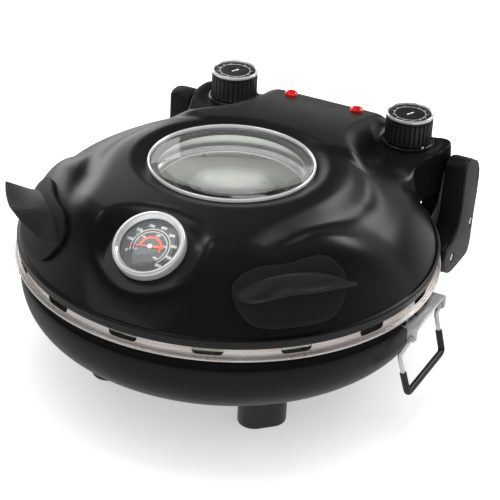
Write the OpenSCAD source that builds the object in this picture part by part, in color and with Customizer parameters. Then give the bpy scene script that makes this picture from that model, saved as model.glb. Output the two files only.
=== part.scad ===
// Electric countertop pizza oven: round steel base, refractory stone in a slotted
// stainless tray, and a domed lid hinged between two rear arms.
// Millimetres, +Z up, floor at Z = 0, front towards -Y, hinge towards +Y.

/* [Body] */
// Diameter of the baking stone
stone_d = 310; // [300:1:312]
// Thickness of the baking stone
stone_t = 12; // [10:1:13]
// Radius of the base bowl at its lip
bowl_r = 166; // [165:0.5:167]
// Height of the bowl lip above the floor
bowl_top = 92.5; // [91:0.5:94]
// Height of the bowl's flat bottom above the floor
bowl_bottom = 27; // [24:1:30]

/* [Stone tray] */
// Radius of the tray's outer flange
flange_r = 170; // [169:0.5:170]
// Height of the tray's outer flange above the floor
flange_z = 101; // [100:0.5:102]
// Number of vent slots round the tray
slot_count = 16; // [12:1:20]
// Length of each vent slot round the tray
slot_len = 23; // [14:1:24]
// Height of each vent slot
slot_h = 7.4; // [5:0.2:7.8]

/* [Lid] */
// Radius of the lid's dome at its foot
lid_r = 165.4; // [165:0.1:166]
// Height of the crown of the deck above the floor
deck_z = 180.5; // [179:0.5:182]
// Rise of the deck above the outer dome
deck_rise = 4; // [3:0.5:6]
// Half width of the rear control block
block_x = 119.3; // [117:0.1:119.5]
// Distance of the rear wall behind the body's centre
block_y = 184; // [182:0.5:185]
// Thickness of the lid's wall
lid_wall = 2.2; // [2:0.1:2.5]

/* [Window and gauge] */
// Outer radius of the window's chrome ring
window_r = 66.5; // [66:0.1:67]
// Radius of the gauge's bezel
gauge_r = 27.7; // [26:0.1:28]
// Tilt of the gauge from the horizontal
gauge_tilt = 32; // [28:1:36]

/* [Controls] */
// Sideways distance of each knob from the middle
knob_x = 82.5; // [80:0.5:84]
// Distance of the knobs behind the body's centre
knob_y = 163; // [160:0.5:164]
// Radius of the knobs
knob_r = 19.9; // [18:0.1:20.5]
// Height of the knobs above their collars
knob_h = 23.5; // [20:0.5:26]
// Sideways distance of each indicator lamp from the middle
lamp_x = 31; // [26:1:36]
// Distance of the lamps behind the body's centre
lamp_y = 170.6; // [166:0.2:172]

/* [Hinge and bails] */
// Distance of the hinge axis behind the body's centre
hinge_y = 172; // [171:0.5:173]
// Height of the hinge axis above the floor
hinge_z = 125.7; // [125:0.1:127]
// Radius of the hinge pins
pin_r = 4; // [3:0.5:5]
// Outer face of the hinge arms from the middle
arm_x = 141; // [140:0.5:143]
// Distance of the bail pivots from the middle
bail_x = 173; // [172.5:0.1:173.5]
// Height of the bail pivots above the floor
bail_z = 86; // [85:0.5:87]
// Diameter of the bail wire
bail_d = 3.6; // [3:0.1:4]

/* [Hidden] */

$fn = 96;
// the body's axis stands this far in front of the origin, so that the origin is mid-box
axis_y = -10;
rim_z = 117;          // foot of the dome
rim_low = 113.8;      // lower edge of the lid
rear_low = 120;       // lower edge of the rear wall
flange_lip = 2.8;     // how far the lid's hem stands out
skirt_h = 5;          // drop of the skirt below the lip
skirt_in = 1.7;       // inner face of the skirt out from the lid's edge
collar_r = 164.4;     // outside of the support ring under the flange
hole_r = 64;          // window opening in the lid shell
pad_z = 149;          // flat pads under the knobs
seat_z = 174.6;       // flat seat under the window ring
pad_r = 22.8;         // radius of the flat pads
gauge_y = -131;
gauge_z = 166.5;
pin_gap = 0.05;
arm_in = 121.6;       // inner face of the hinge arms
cover_t = 3.2;         // thickness of the arms' outer covers
plate_x = 119.6;      // inner face of the hinge brackets
plate_t = 1.8;        // thickness of the hinge brackets
slack = 0.05;         // gap left round a screw, rivet or pin that is held still
BLACK = "#1b1b1c";
STEEL = "#c9c9c9";
CHROME = "#dedede";

// ---------------------------------------------------------------- helpers
module centred() translate([0, axis_y, 0]) children();
module for_side(side) centred() mirror([side < 0 ? 1 : 0, 0, 0]) children();
function mix(a, b, t) = a + (b - a) * t;
function ramp(a, b, x) = let (t = min(max((x - a) / (b - a), 0), 1)) t * t * (3 - 2 * t);
function smin(a, b, k) = let (h = max(k - abs(a - b), 0) / k) min(a, b) - h * h * k / 4;
function smax(a, b, k) = -smin(-a, -b, k);

// ---------------------------------------------------------------- lid form
// angle folded to the +X side, so that one rule serves both halves
function fold(a) = asin(sin(a));
function block_side(f) = block_x - 14 * (1 - ramp(47, 54.5, f));
function block_edge(f) = smin(block_side(f) / max(cos(f), 0.01), block_y / sin(f), 16);
// plan radius of the lid's foot in direction a
function lid_edge(a) = let (f = fold(a)) f < 40 ? lid_r : smax(lid_r, block_edge(f), 10);
function in_block(a) = let (f = fold(a)) f < 40 ? 0 : ramp(48, 53, f);
function in_rear(a) = let (f = fold(a)) f < 40 ? 0 : ramp(57, 62, f);
function foot_z(a) = rim_z + (rear_low - rim_low) * in_rear(a);
function wall_z(a, r) = foot_z(a) + mix(2, 12, in_block(a)) * (lid_edge(a) - r);
function dome_z(r) = 176.5 - 0.0011 * pow(max(r - 60, 0), 2);
function deck_half(y) = 49 + 33 * exp(-pow((y - 10) / 88, 2));
function deck_top(r, y) = smin(smin(deck_z, deck_z - 0.236 * (y - 82), 14),
                               dome_z(r) + deck_rise + 60 * ramp(30, 90, y), 10);
function deck_mask(x, y) = (1 - ramp(0, 16, abs(x) - deck_half(y))) * ramp(-150, -118, y);
function low_z(r, y) = mix(dome_z(r), 150.5, ramp(112, 150, y));
function channel(x, y) = exp(-pow((abs(x) - deck_half(y) - 10) / 9, 2))
    * (2 * ramp(-120, -60, y) + 10 * exp(-pow((y - 98) / 22, 2)))
    * ramp(-125, -90, y) * (1 - ramp(120, 140, y));
function crown_z(x, y) = let (r = norm([x, y]), low = low_z(r, y))
    mix(low + (deck_top(r, y) - low) * deck_mask(x, y) - channel(x, y), seat_z, 1 - ramp(67, 79, r));
function dish_z(y) = gauge_z - 9 / cos(gauge_tilt) + tan(gauge_tilt) * (y - gauge_y);
function dish_mask(x, y) = 1 - ramp(31, 44, norm([x, (y - gauge_y) / cos(gauge_tilt)]));
function pad_mask(x, y) = 1 - ramp(24, 31, norm([abs(x) - knob_x, y - knob_y]));
function lid_z(x, y) = let (
    a = atan2(y, x), r = norm([x, y]),
    top = mix(crown_z(x, y), pad_z, pad_mask(x, y)),
    z = smin(wall_z(a, r), top, mix(26, 9, in_block(a))))
    mix(z, dish_z(y), dish_mask(x, y));

half_angles = concat([for (a = [-90 : 5 : -65]) a], [for (a = [-60 : 7.5 : 37.5]) a], [42, 45],
                     [for (a = [47.5 : 1.5 : 59.5]) a], [for (a = [62 : 4 : 90]) a]);
lid_angles = concat(half_angles, [for (i = [len(half_angles) - 2 : -1 : 1]) 180 - half_angles[i]]);
lid_steps = [0, 0.05, 0.1, 0.15, 0.21, 0.28, 0.36, 0.45, 0.54, 0.62, 0.69, 0.75, 0.8, 0.85, 0.89,
             0.925, 0.955, 0.98, 1];

function outer_row(s) = [for (a = lid_angles) let (r = mix(hole_r, lid_edge(a), s),
    x = r * cos(a), y = r * sin(a)) [x, y, lid_z(x, y)]];
// the inside follows every second row of the outside
function inner_row(s) = [for (a = lid_angles) let (r = mix(hole_r, lid_edge(a) - lid_wall, s),
    x = r * cos(a), y = r * sin(a)) [x, y, lid_z(x, y) - lid_wall]];
function hem_row(out, z) = [for (a = lid_angles) let (lip = out < 0 ? out : out * (1 - in_block(a)),
    r = lid_edge(a) + lip) [r * cos(a), r * sin(a), foot_z(a) + z]];
// the skirt hangs outside the tray's wall and fades out towards the hinge
function skirt(a) = 1 - ramp(18, 30, fold(a));
function skirt_row(out, block_out, drop) = [for (a = lid_angles)
    let (r = lid_edge(a) + mix(out, block_out, in_block(a)))
    [r * cos(a), r * sin(a), foot_z(a) + rim_low - rim_z - drop * skirt(a)]];

// closed skin through rows of equal length, the last row joined to the first
module ring_skin(rows) {
    n = len(rows[0]);
    m = len(rows);
    polyhedron([for (row = rows) for (p = row) p],
        [for (i = [0 : m - 1]) for (j = [0 : n - 1]) for (half = [0, 1])
            let (a = i * n + j, b = i * n + (j + 1) % n,
                 c = ((i + 1) % m) * n + (j + 1) % n, d = ((i + 1) % m) * n + j)
            half == 0 ? [a, b, c] : [a, c, d]]);
}

module lid_shell() color(BLACK) centred() difference() {
    ring_skin(concat(
        [for (s = lid_steps) outer_row(s)],
        [hem_row(flange_lip, -1.6), skirt_row(flange_lip, 0, skirt_h), skirt_row(skirt_in, -0.8, skirt_h),
         skirt_row(skirt_in - 0.15, -1.4, 0), hem_row(-lid_wall, rim_low - rim_z)],
        [for (i = [len(lid_steps) - 1 : -2 : 0]) inner_row(lid_steps[i])]));
    in_gauge() {
        translate([0, 0, -30]) cylinder(r = 23, h = 30, $fn = 48);
        translate([0, 0, -8.8]) cylinder(r = gauge_r + 0.6, h = 30, $fn = 48);
    }
    for (s = [-1, 1]) {
        translate([s * knob_x, knob_y, pad_z - 10]) cylinder(r = 8, h = 20, $fn = 32);
        translate([s * knob_x, knob_y, pad_z + 0.15]) cylinder(r = pad_r, h = 20, $fn = 48);
        translate([s * lamp_x, lamp_y, 145]) cylinder(r = 4.6, h = 30, $fn = 24);
        translate([s * lamp_x, lamp_y, lamp_z - 0.9]) cylinder(r = 5.8, h = 30, $fn = 32);
        translate([s * block_x, hinge_y, hinge_z]) rotate([0, 90, 0])
            cylinder(r = 8, h = 24, center = true, $fn = 48);
    }
    for (s = [-1, 1]) for (a = handle_screw_angles) handle_screw_place(s, a)
        cylinder(r = 2.5, h = 30, center = true, $fn = 24);
}
lamp_z = lid_z(lamp_x, lamp_y);

// ---------------------------------------------------------------- base
// superellipse quarter: radius of the bowl at height z
function bowl_at(z) = bowl_r * pow(max(1 - pow((bowl_top - z) / (bowl_top - bowl_bottom), 2.6), 0), 0.25);
bowl_heights = [for (i = [0 : 15]) bowl_top - (bowl_top - bowl_bottom) * sin(i * 6)];

module base_shell() color(BLACK) centred() difference() {
    rotate_extrude($fn = 144) polygon(concat(
        [for (z = bowl_heights) [bowl_at(z), z]],
        [[0, bowl_bottom], [0, bowl_bottom + 1.2]],
        [for (i = [14 : -1 : 1]) [bowl_at(bowl_heights[i]) - 1.2, bowl_heights[i] + 1.2]],
        [[bowl_r - 1.4, bowl_top]]));
    for (a = [45 : 90 : 315]) rotate(a) translate([foot_c, 0, bowl_bottom - 5]) cylinder(r = 2.3, h = 12);
    at_inlet(150) cylinder(r = 7, h = 40);
}
// everything inside the bowl's outer face, up to a height
module bowl_space(gap, top) rotate_extrude($fn = 144) polygon(concat(
    [for (z = bowl_heights) [bowl_at(z) + gap, z - gap]],
    [[0, bowl_bottom - gap], [0, top], [bowl_r + gap, top]]));

// black support ring between the bowl and the tray's flange
collar_top = flange_z - 1.7;
module base_collar() color(BLACK) centred() difference() {
    rotate_extrude($fn = 144) polygon([
        [160, 86], [collar_r, 86], [collar_r, collar_top], [collar_r - 2, collar_top],
        [collar_r - 2, 88], [160, 88]]);
    for (side = [0, 1]) mirror([side, 0, 0]) at_rivets()
        cylinder(r = rivet_r + slack, h = 20, center = true, $fn = 24);
}

// bright inner pan that throws the lower element's heat upwards
module base_pan() color("#b9b9b6") centred() difference() {
    rotate_extrude($fn = 96) polygon([
        [0, 50], [104, 50], [132, 58], [152, 72], [160, 84.7], [164.2, 84.7], [164.2, 85.9], [159.2, 85.9],
        [151.2, 73], [131.4, 59.2], [103.8, 51.2], [0, 51.2]]);
    for (a = tail_angles) rotate(a) translate([lower_heater_r, 0, 40]) cylinder(r = 4.6, h = 20, $fn = 48);
}

// tubular heater: most of a ring, open at the back, with two cold ends that leave the chamber
tail_angles = [102, 78];
lower_heater_r = 98;
upper_heater_r = 108;
module heater(r, z, tail) {
    translate([0, 0, z]) rotate(100) rotate_extrude(angle = 340)
        translate([r, 0]) circle(r = 3.2, $fn = 24);
    for (a = tail_angles) rotate(a) translate([r, 0, z]) mirror([0, 0, tail < 0 ? 1 : 0])
        translate([0, 0, -4]) cylinder(r = 4.2, h = abs(tail) + 4, $fn = 48);
}
module lower_element() color("#6d6a66") centred() heater(lower_heater_r, 67.4, -25);
module lower_clips() color(STEEL) centred() for (a = [30, 150, 270]) rotate(a)
    translate([lower_heater_r, 0, 51.3]) {
        translate([-4, -5, 0]) cube([8, 10, 1]);
        translate([-4, -5, 0]) cube([1, 10, 12.7]);
        translate([-4, -5, 11.7]) cube([8, 10, 1]);
    }
module thermal_cutout() color("#8a7f6c") centred() translate([40, 30, 39.4]) {
    cylinder(r = 8, h = 9);
    translate([0, 0, 9]) cylinder(r = 12, h = 1.5);
}
module terminal_block() color("ivory") centred() translate([-18, 66, 30.6]) difference() {
    cube([36, 16, 12]);
    for (i = [0 : 2]) translate([6 + i * 12, 8, 5]) cylinder(r = 2, h = 10, $fn = 24);
}
// gland in the back of the bowl where a supply lead would enter
inlet_z = 74;
module at_inlet(y) translate([0, y, inlet_z]) rotate([-90, 0, 0]) children();
module cord_inlet() color(BLACK) centred() difference() {
    union() {
        at_inlet(158.8) cylinder(r = 6.8, h = 8);
        difference() {
            at_inlet(155) cylinder(r = 9.5, h = 15);
            bowl_space(0.1, 110);
        }
    }
    at_inlet(150) cylinder(r = 4.2, h = 30);
}

foot_c = 100;         // distance of each foot from the centre
foot_w = 39;          // width of each foot
module stadium(w, d) {
    square([w - d, d], center = true);
    for (s = [-1, 1]) translate([s * (w - d) / 2, 0]) circle(d = d);
}
module feet() color(BLACK) centred() difference() {
    for (a = [45 : 90 : 315]) rotate(a) translate([foot_c, 0, 0]) rotate(90) difference() {
        union() {
            linear_extrude(bowl_bottom + 9) stadium(foot_w, 26);
            linear_extrude(2) stadium(foot_w + 1, 27);
        }
        translate([0, 0, -1]) cylinder(r = 5, h = 23, $fn = 32);
        cylinder(r = 2.3, h = 60, $fn = 32);
    }
    bowl_space(0.1, 60);
}
module foot_screws() color(STEEL) centred() for (a = [45 : 90 : 315]) rotate(a)
    translate([foot_c, 0, 21.95]) {
        cylinder(r = 2.1, h = 12, $fn = 24);
        mirror([0, 0, 1]) cylinder(r = 4.5, h = 2.6, $fn = 24);
    }

// ---------------------------------------------------------------- stone tray
stone_z = 85.95;
slot_z = 106.6;       // middle of the vent slots
module stone_tray() color(STEEL) centred() difference() {
    rotate_extrude($fn = 192) polygon([
        [146, 84.9], [158, 84.9], [158, flange_z - 1.6], [166.2, flange_z - 1.6], [166.2, flange_z - 0.4],
        [168.8, flange_z - 0.4], [flange_r, flange_z - 1.6], [flange_r, flange_z + 0.2],
        [168.8, flange_z + 0.6], [166.2, flange_z + 0.8], [166.2, 112.6], [165.2, 113.2], [162, 113.2],
        [162, 112.2], [165.2, 112.2], [165.2, flange_z - 0.6],
        [157, flange_z - 0.6], [157, 85.9], [146, 85.9]]);
    for (i = [0 : slot_count - 1]) rotate(-90 + i * 360 / slot_count) translate([160, 0, slot_z])
        rotate([90, 0, 90]) linear_extrude(10) stadium(slot_len, slot_h);
}
module pizza_stone() color("#cfc6b4") centred() difference() {
    translate([0, 0, stone_z]) cylinder(r = stone_d / 2, h = stone_t, $fn = 144);
    translate([0, 0, stone_z + stone_t - 1.2]) difference() {
        cylinder(r = 31, h = 2);
        translate([0, 0, -1]) cylinder(r = 28, h = 4);
    }
}

// folded steel bracket in the gap above the bowl, with an ear at each end for the bail
ear_y = 29;           // middle of each ear from the bracket's middle
bracket_z = 92.8;
module bail_bracket(side) color(STEEL) for_side(side) difference() {
    union() {
        difference() {
            union() {
                translate([150, -ear_y - 1, bracket_z]) cube([26.5, 2 * ear_y + 2, 1.4]);
                intersection() {
                    translate([0, 0, bracket_z]) cylinder(r = collar_r + 1.5, h = 5.4, $fn = 144);
                    translate([150, -ear_y - 1, bracket_z]) cube([26.5, 2 * ear_y + 2, 5.4]);
                }
            }
            cylinder(r = collar_r + 0.1, h = 200, $fn = 144);
        }
        for (s = [-1, 1]) translate([0, s * ear_y, 0]) rotate([90, 0, 0]) linear_extrude(2, center = true) {
            translate([bail_x - 4.5, bail_z]) square([8, bracket_z + 1 - bail_z]);
            translate([bail_x - 0.5, bail_z]) circle(r = 4);
        }
    }
    translate([bail_x, 0, bail_z]) rotate([90, 0, 0])
        cylinder(r = bail_d / 2 + pin_gap, h = 100, center = true, $fn = 48);
    at_rivets() cylinder(r = rivet_r + slack, h = 20, center = true, $fn = 24);
}
module bail_bracket_left() bail_bracket(-1);
module bail_bracket_right() bail_bracket(1);
// the rivets point outwards through the collar and the bracket's upright strip
rivet_r = 1.2;
module at_rivets() for (a = [-8, 8]) rotate(a)
    translate([collar_r, 0, bracket_z + 3.5]) rotate([0, 90, 0]) children();
module bracket_rivets() color(STEEL) for (side = [-1, 1]) for_side(side) at_rivets() {
    translate([0, 0, -3.2]) cylinder(r = rivet_r, h = 4.9, $fn = 24);
    translate([0, 0, 1.6]) cylinder(r = 1.9, h = 1, $fn = 24);
}

// a bail is a wire path: stub in the ear, knee, then the lower bar
function bail_path(half) = [[bail_x, half - 7, bail_z], [bail_x, half, bail_z],
                            [bail_x - 6, half + 3, bail_z - 14], [bail_x + 3, half + 1, bail_z - 46]];
// swept tube along points, with a ring square to the path at each point
function unit(v) = v / norm(v);
function bisector(p, i) = i == 0 ? unit(p[1] - p[0]) : i == len(p) - 1 ? unit(p[i] - p[i - 1])
    : unit(unit(p[i] - p[i - 1]) + unit(p[i + 1] - p[i]));
function tube_ring(p, i, r, sides) =
    let (t = bisector(p, i), u = unit(cross(t, [1, 0, 0.02])), v = cross(t, u))
    [for (k = [0 : sides - 1]) p[i] + r * (cos(k * 360 / sides) * u + sin(k * 360 / sides) * v)];
module tube(p, r, sides = 12) {
    n = sides;
    m = len(p);
    polyhedron([for (i = [0 : m - 1]) each tube_ring(p, i, r, n)], concat(
        [for (i = [0 : m - 2]) for (k = [0 : n - 1]) for (h = [0, 1])
            let (a = i * n + k, b = i * n + (k + 1) % n, c = b + n, d = a + n)
                h == 0 ? [a, c, b] : [a, d, c]],
        [[for (k = [0 : n - 1]) k]], [[for (k = [n - 1 : -1 : 0]) (m - 1) * n + k]]));
}
// rounds the corners of a path with short arcs of radius about r
function rounded(p, r) = [for (i = [0 : len(p) - 1]) each (i == 0 || i == len(p) - 1) ? [p[i]]
    : let (a = p[i] + r * unit(p[i - 1] - p[i]), b = p[i] + r * unit(p[i + 1] - p[i]))
      [for (t = [0 : 0.25 : 1]) (1 - t) * (1 - t) * a + 2 * t * (1 - t) * p[i] + t * t * b]];
function mirrored(p) = [for (q = p) [q[0], -q[1], q[2]]];
function bail_wire() = let (h = bail_path(ear_y + 5)) rounded(concat(mirrored([h[1], h[2], h[3]]),
    [h[3], h[2], h[1]]), 4);
module bail(side) color(CHROME) for_side(side) {
    tube(bail_wire(), bail_d / 2);
    for (s = [-1, 1]) translate([bail_x, s * (ear_y + 6.4), bail_z]) rotate([s * 90, 0, 0])
        cylinder(r = bail_d / 2, h = 11, $fn = 48);
}
module bail_left() bail(-1);
module bail_right() bail(1);
sleeve_r = 2.9;
function sleeve_path() = let (h = bail_path(ear_y + 5), m = mix(h[2], h[3], 0.45))
    rounded(concat(mirrored([m, h[3]]), [h[3], m]), 4);
module bail_sleeve(side) color("#202020") for_side(side) difference() {
    tube(sleeve_path(), sleeve_r);
    tube(bail_wire(), bail_d / 2);
}
module bail_sleeve_left() bail_sleeve(-1);
module bail_sleeve_right() bail_sleeve(1);

// ---------------------------------------------------------------- hinge
// side outline of a hinge arm in Y and Z
module arm_outline() polygon(concat(
    [for (t = [0 : 7.5 : 180]) [hinge_y + 18 * cos(t), hinge_z + 18 * sin(t)]],
    [[151, 96], [144, 83], [129, 78], [125, 68], [126, 57], [137, 50], [166, 48], [181, 57], [189, 72]]));
// the hollow inside an arm keeps the outline, a little smaller about its middle
module arm_hollow() translate([170, 98]) scale(0.92) translate([-170, -98]) arm_outline();
module side_plate(x, t) translate([x, 0, 0]) rotate([90, 0, 90]) linear_extrude(t) children();

module hinge_arm(side) color(BLACK) for_side(side) difference() {
    side_plate(arm_in, arm_x - cover_t - arm_in) arm_outline();
    side_plate(arm_in + 5, 30) arm_hollow();
    translate([arm_in - 1, hinge_y, hinge_z]) rotate([0, 90, 0]) cylinder(r = pin_r + pin_gap, h = 30);
    for (p = arm_screw_places) translate([arm_in - 1, p[0], p[1]]) rotate([0, 90, 0])
        cylinder(r = 2.1, h = 30, $fn = 24);
}
arm_screw_places = [[178, 82], [139, 65]];
module hinge_arm_left() hinge_arm(-1);
module hinge_arm_right() hinge_arm(1);
module arm_cover(side) color(BLACK) for_side(side) difference() {
    side_plate(arm_x - cover_t, cover_t) arm_outline();
    for (p = arm_screw_places) translate([arm_x - 10, p[0], p[1]]) rotate([0, 90, 0]) {
        cylinder(r = 2.1, h = 30, $fn = 24);
        translate([0, 0, 8.6]) cylinder(r = 4.2, h = 30, $fn = 32);
    }
    translate([arm_x - 10, 183, 121]) cube([30, 1.6, 9]);
}
module arm_cover_left() arm_cover(-1);
module arm_cover_right() arm_cover(1);
module arm_screws() color(CHROME) for (side = [-1, 1]) for_side(side) for (p = arm_screw_places)
    translate([plate_x - 2, p[0], p[1]]) rotate([0, 90, 0]) {
        cylinder(r = 2, h = arm_x - 1.4 - plate_x + 2, $fn = 24);
        translate([0, 0, arm_x - 1.4 - plate_x + 2]) cylinder(r = 4, h = 1.4, $fn = 32);
    }

// steel bracket: a tab curved round the bowl and a plate that carries the arm and the pin
module hinge_bracket(side) color(STEEL) for_side(side) difference() {
    union() {
        intersection() {
            difference() {
                translate([0, 0, 66]) cylinder(r = bowl_r + 2.2, h = 24, $fn = 144);
                translate([0, 0, 60]) cylinder(r = bowl_r + 0.4, h = 40, $fn = 144);
            }
            cube([plate_x + plate_t, 146, 200]);
        }
        side_plate(plate_x, plate_t) polygon([[117, 66], [117, 90], [150, 106], [156, 132], [188, 132],
                                              [188, 74], [178, 60], [140, 56], [130, 60]]);
    }
    translate([plate_x - 1, hinge_y, hinge_z]) rotate([0, 90, 0]) cylinder(r = pin_r + slack, h = 5);
    for (p = arm_screw_places) translate([plate_x - 1, p[0], p[1]]) rotate([0, 90, 0])
        cylinder(r = 2 + slack, h = 5, $fn = 24);
}
module hinge_bracket_left() hinge_bracket(-1);
module hinge_bracket_right() hinge_bracket(1);
pin_end = 108;        // inner end of each hinge pin from the middle
module hinge_pin(side) color(STEEL) for_side(side) translate([pin_end, hinge_y, hinge_z]) rotate([0, 90, 0]) {
    cylinder(r = pin_r, h = arm_in + 6 - pin_end);
    translate([0, 0, arm_in + 5.2 - pin_end]) cylinder(r = pin_r + 2.5, h = 2);
}
module hinge_pin_left() hinge_pin(-1);
module hinge_pin_right() hinge_pin(1);
module hinge_bush(side) color("#8d7c52") for_side(side) translate([110, hinge_y, hinge_z]) rotate([0, 90, 0])
    difference() {
        union() {
            cylinder(r = 7.9, h = block_x - 110);
            cylinder(r = 9, h = 2.2);
        }
        translate([0, 0, -1]) cylinder(r = pin_r + pin_gap, h = 20);
    }
module hinge_bush_left() hinge_bush(-1);
module hinge_bush_right() hinge_bush(1);

// ---------------------------------------------------------------- lid inside
module lid_liner() color("#bdbdb9") centred() difference() {
    rotate_extrude($fn = 144) polygon([
        [65, 168], [66.5, 156], [74, 151.5], [118, 147], [146, 133], [157.6, 118.6],
        [162.4, 118.6], [162.4, 117.6], [157, 117.6], [145.2, 132], [117.6, 146], [73.6, 150.5], [58, 150.5], [58, 151.5], [65.4, 152],
        [64.1, 167], [58, 167], [58, 168]]);
    for (a = tail_angles) rotate(a) translate([upper_heater_r, 0, 140]) cylinder(r = 4.6, h = 20, $fn = 48);
    in_gauge() translate([0, 0, -45]) cylinder(r = 3.8, h = 35, $fn = 48);
}
module upper_element() color("#6d6a66") centred() heater(upper_heater_r, 136, 17);
module upper_clips() color(STEEL) centred() for (a = [30, 150, 270]) rotate(a)
    translate([upper_heater_r, 0, 131.6]) {
        translate([-4.8, -5, 0]) cube([8.8, 10, 1]);
        translate([-4.8, -5, 0]) cube([1, 10, 15.4]);
    }
module window_ring() color(CHROME) centred() rotate_extrude($fn = 144) polygon([
    [63.7, seat_z + 0.35], [63.7, 171], [62.6, 171], [62.6, 177.8], [63.6, 178.6], [65.4, 178.7],
    [window_r, 177.6], [window_r, seat_z + 0.35]]);
module window_glass() color([0.8, 0.9, 0.88, 0.35]) centred()
    translate([0, 0, 172]) cylinder(r = 62.4, h = 4, $fn = 144);
module window_gasket() color("#2c2c2c") centred() rotate_extrude($fn = 144) polygon([
    [58, 168.2], [63.8, 168.2], [63.8, 170.9], [62.5, 170.9], [62.5, 171.9], [58, 171.9]]);
module inner_glass() color([0.8, 0.9, 0.88, 0.35]) centred()
    translate([0, 0, 152.1]) cylinder(r = 62.6, h = 3.5, $fn = 144);

// ---------------------------------------------------------------- gauge
module in_gauge() translate([0, gauge_y, gauge_z]) rotate([gauge_tilt, 0, 0]) children();
module gauge_case() color(CHROME) centred() in_gauge() difference() {
    union() {
        translate([0, 0, -9.5]) cylinder(r = 22.5, h = 6);
        translate([0, 0, -8.4]) cylinder(r = gauge_r - 1.6, h = 5.4);
        translate([0, 0, -30]) cylinder(r = 3, h = 22, $fn = 32);
    }
    translate([0, 0, -7.4]) cylinder(r = gauge_r - 3, h = 8);
}
module gauge_bezel() color(CHROME) centred() in_gauge() rotate_extrude($fn = 96) polygon([
    [19.6, -3.2], [20.2, -2.9], [24.4, -0.4], [26, 0], [27.3, -0.7], [gauge_r, -2.2], [gauge_r, -8.2],
    [gauge_r - 1.3, -8.2], [gauge_r - 1.3, -2.8], [26, -1.4], [24.8, -1.6], [20.4, -4.2], [19.6, -4.2]]);
module gauge_dial() color("#3a3d40") centred() in_gauge() translate([0, 0, -7.3]) difference() {
    cylinder(r = gauge_r - 3.3, h = 0.6);
    translate([0, 0, -1]) cylinder(r = 1, h = 3, $fn = 24);
}
module gauge_needle() color("#c8321e") centred() in_gauge() {
    translate([0, 0, -6.2]) linear_extrude(0.4) rotate(190)
        polygon([[-9, -0.9], [-9, 0.9], [15.5, 0.35], [15.5, -0.35]]);
    translate([0, 0, -7.25]) cylinder(r = 0.95, h = 1.5, $fn = 24);
    translate([0, 0, -6.4]) cylinder(r = 2, h = 0.9, $fn = 32);
}
module gauge_lens() color([0.9, 0.95, 0.95, 0.3]) centred() in_gauge()
    translate([0, 0, -5.2]) cylinder(r = gauge_r - 3.2, h = 0.8);

// ---------------------------------------------------------------- controls
module at_knob(side) centred() translate([side * knob_x, knob_y, pad_z]) children();
rib_count = 30;
module knob(side) color(BLACK) at_knob(side) difference() {
    union() {
        translate([0, 0, 2.6]) cylinder(r = knob_r - 0.9, h = knob_h - 2);
        for (i = [0 : rib_count - 1]) rotate((i + 0.5) * 360 / rib_count)
            translate([knob_r - 1.2, -0.8, 3.2]) cube([1.2, 1.6, knob_h - 5.2]);
    }
    translate([0, 0, 1]) cylinder(r = knob_r - 3.4, h = 10);
    translate([0, 0, 1]) cylinder(r = 3, h = knob_h - 5);
}
module knob_left() knob(-1);
module knob_right() knob(1);
module knob_ring(side) color(CHROME) at_knob(side) translate([0, 0, knob_h + 0.6]) rotate_extrude() polygon([
    [16.8, 0], [knob_r, 0], [knob_r, 1.6], [knob_r - 0.9, 2.6], [17.8, 2.6], [16.8, 2]]);
module knob_ring_left() knob_ring(-1);
module knob_ring_right() knob_ring(1);
module knob_collar(side) color(BLACK) at_knob(side) {
    difference() {
        translate([0, 0, 0.2]) cylinder(r = pad_r - 0.3, h = 2);
        translate([0, 0, -1]) cylinder(r = 7, h = 5);
    }
    rotate(-32) translate([21.3, 0, 2.2]) sphere(r = 0.8, $fn = 24);
}
module knob_collar_left() knob_collar(-1);
module knob_collar_right() knob_collar(1);
module shaft(side) color(STEEL) at_knob(side) translate([0, 0, -13.5])
    cylinder(r = 2.95, h = knob_h + 9.3, $fn = 48);
module timer_shaft() shaft(-1);
module thermostat_shaft() shaft(1);
module timer() color("#d8d4c8") at_knob(-1) translate([0, 0, -21]) difference() {
    translate([-19, -17, 0]) cube([38, 34, 14]);
    translate([0, 0, 7]) cylinder(r = 3, h = 10, $fn = 48);
}
module thermostat() color("#e6e0cf") at_knob(1) translate([0, 0, -21]) difference() {
    union() {
        cylinder(r = 17, h = 14);
        translate([-20, -10, 0]) cube([40, 20, 6]);
    }
    translate([0, 0, 7]) cylinder(r = 3, h = 10, $fn = 48);
}
// floor of the rear control block
module control_floor() color("#a9a9a6") centred() translate([0, 0, 126.2]) linear_extrude(1.2) difference() {
    translate([-102, 146]) square([204, 33]);
    circle(r = 152.4);
}
module lamp(side) color("#d41512") centred() translate([side * lamp_x, lamp_y, lamp_z]) {
    translate([0, 0, -9]) cylinder(r = 4.4, h = 9, $fn = 48);
    difference() {
        translate([0, 0, -4]) sphere(r = 6.4, $fn = 48);
        translate([-10, -10, -20.8]) cube([20, 20, 20]);
    }
}
module lamp_left() lamp(-1);
module lamp_right() lamp(1);

// ---------------------------------------------------------------- handles
handle_from = -62;
handle_to = -29;
handle_screw_angles = [-54, -37];
module handle_screw_place(side, a) mirror([side < 0 ? 1 : 0, 0, 0]) rotate(a) translate([152.5, 0, 146])
    rotate([0, 62, 0]) children();
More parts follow.
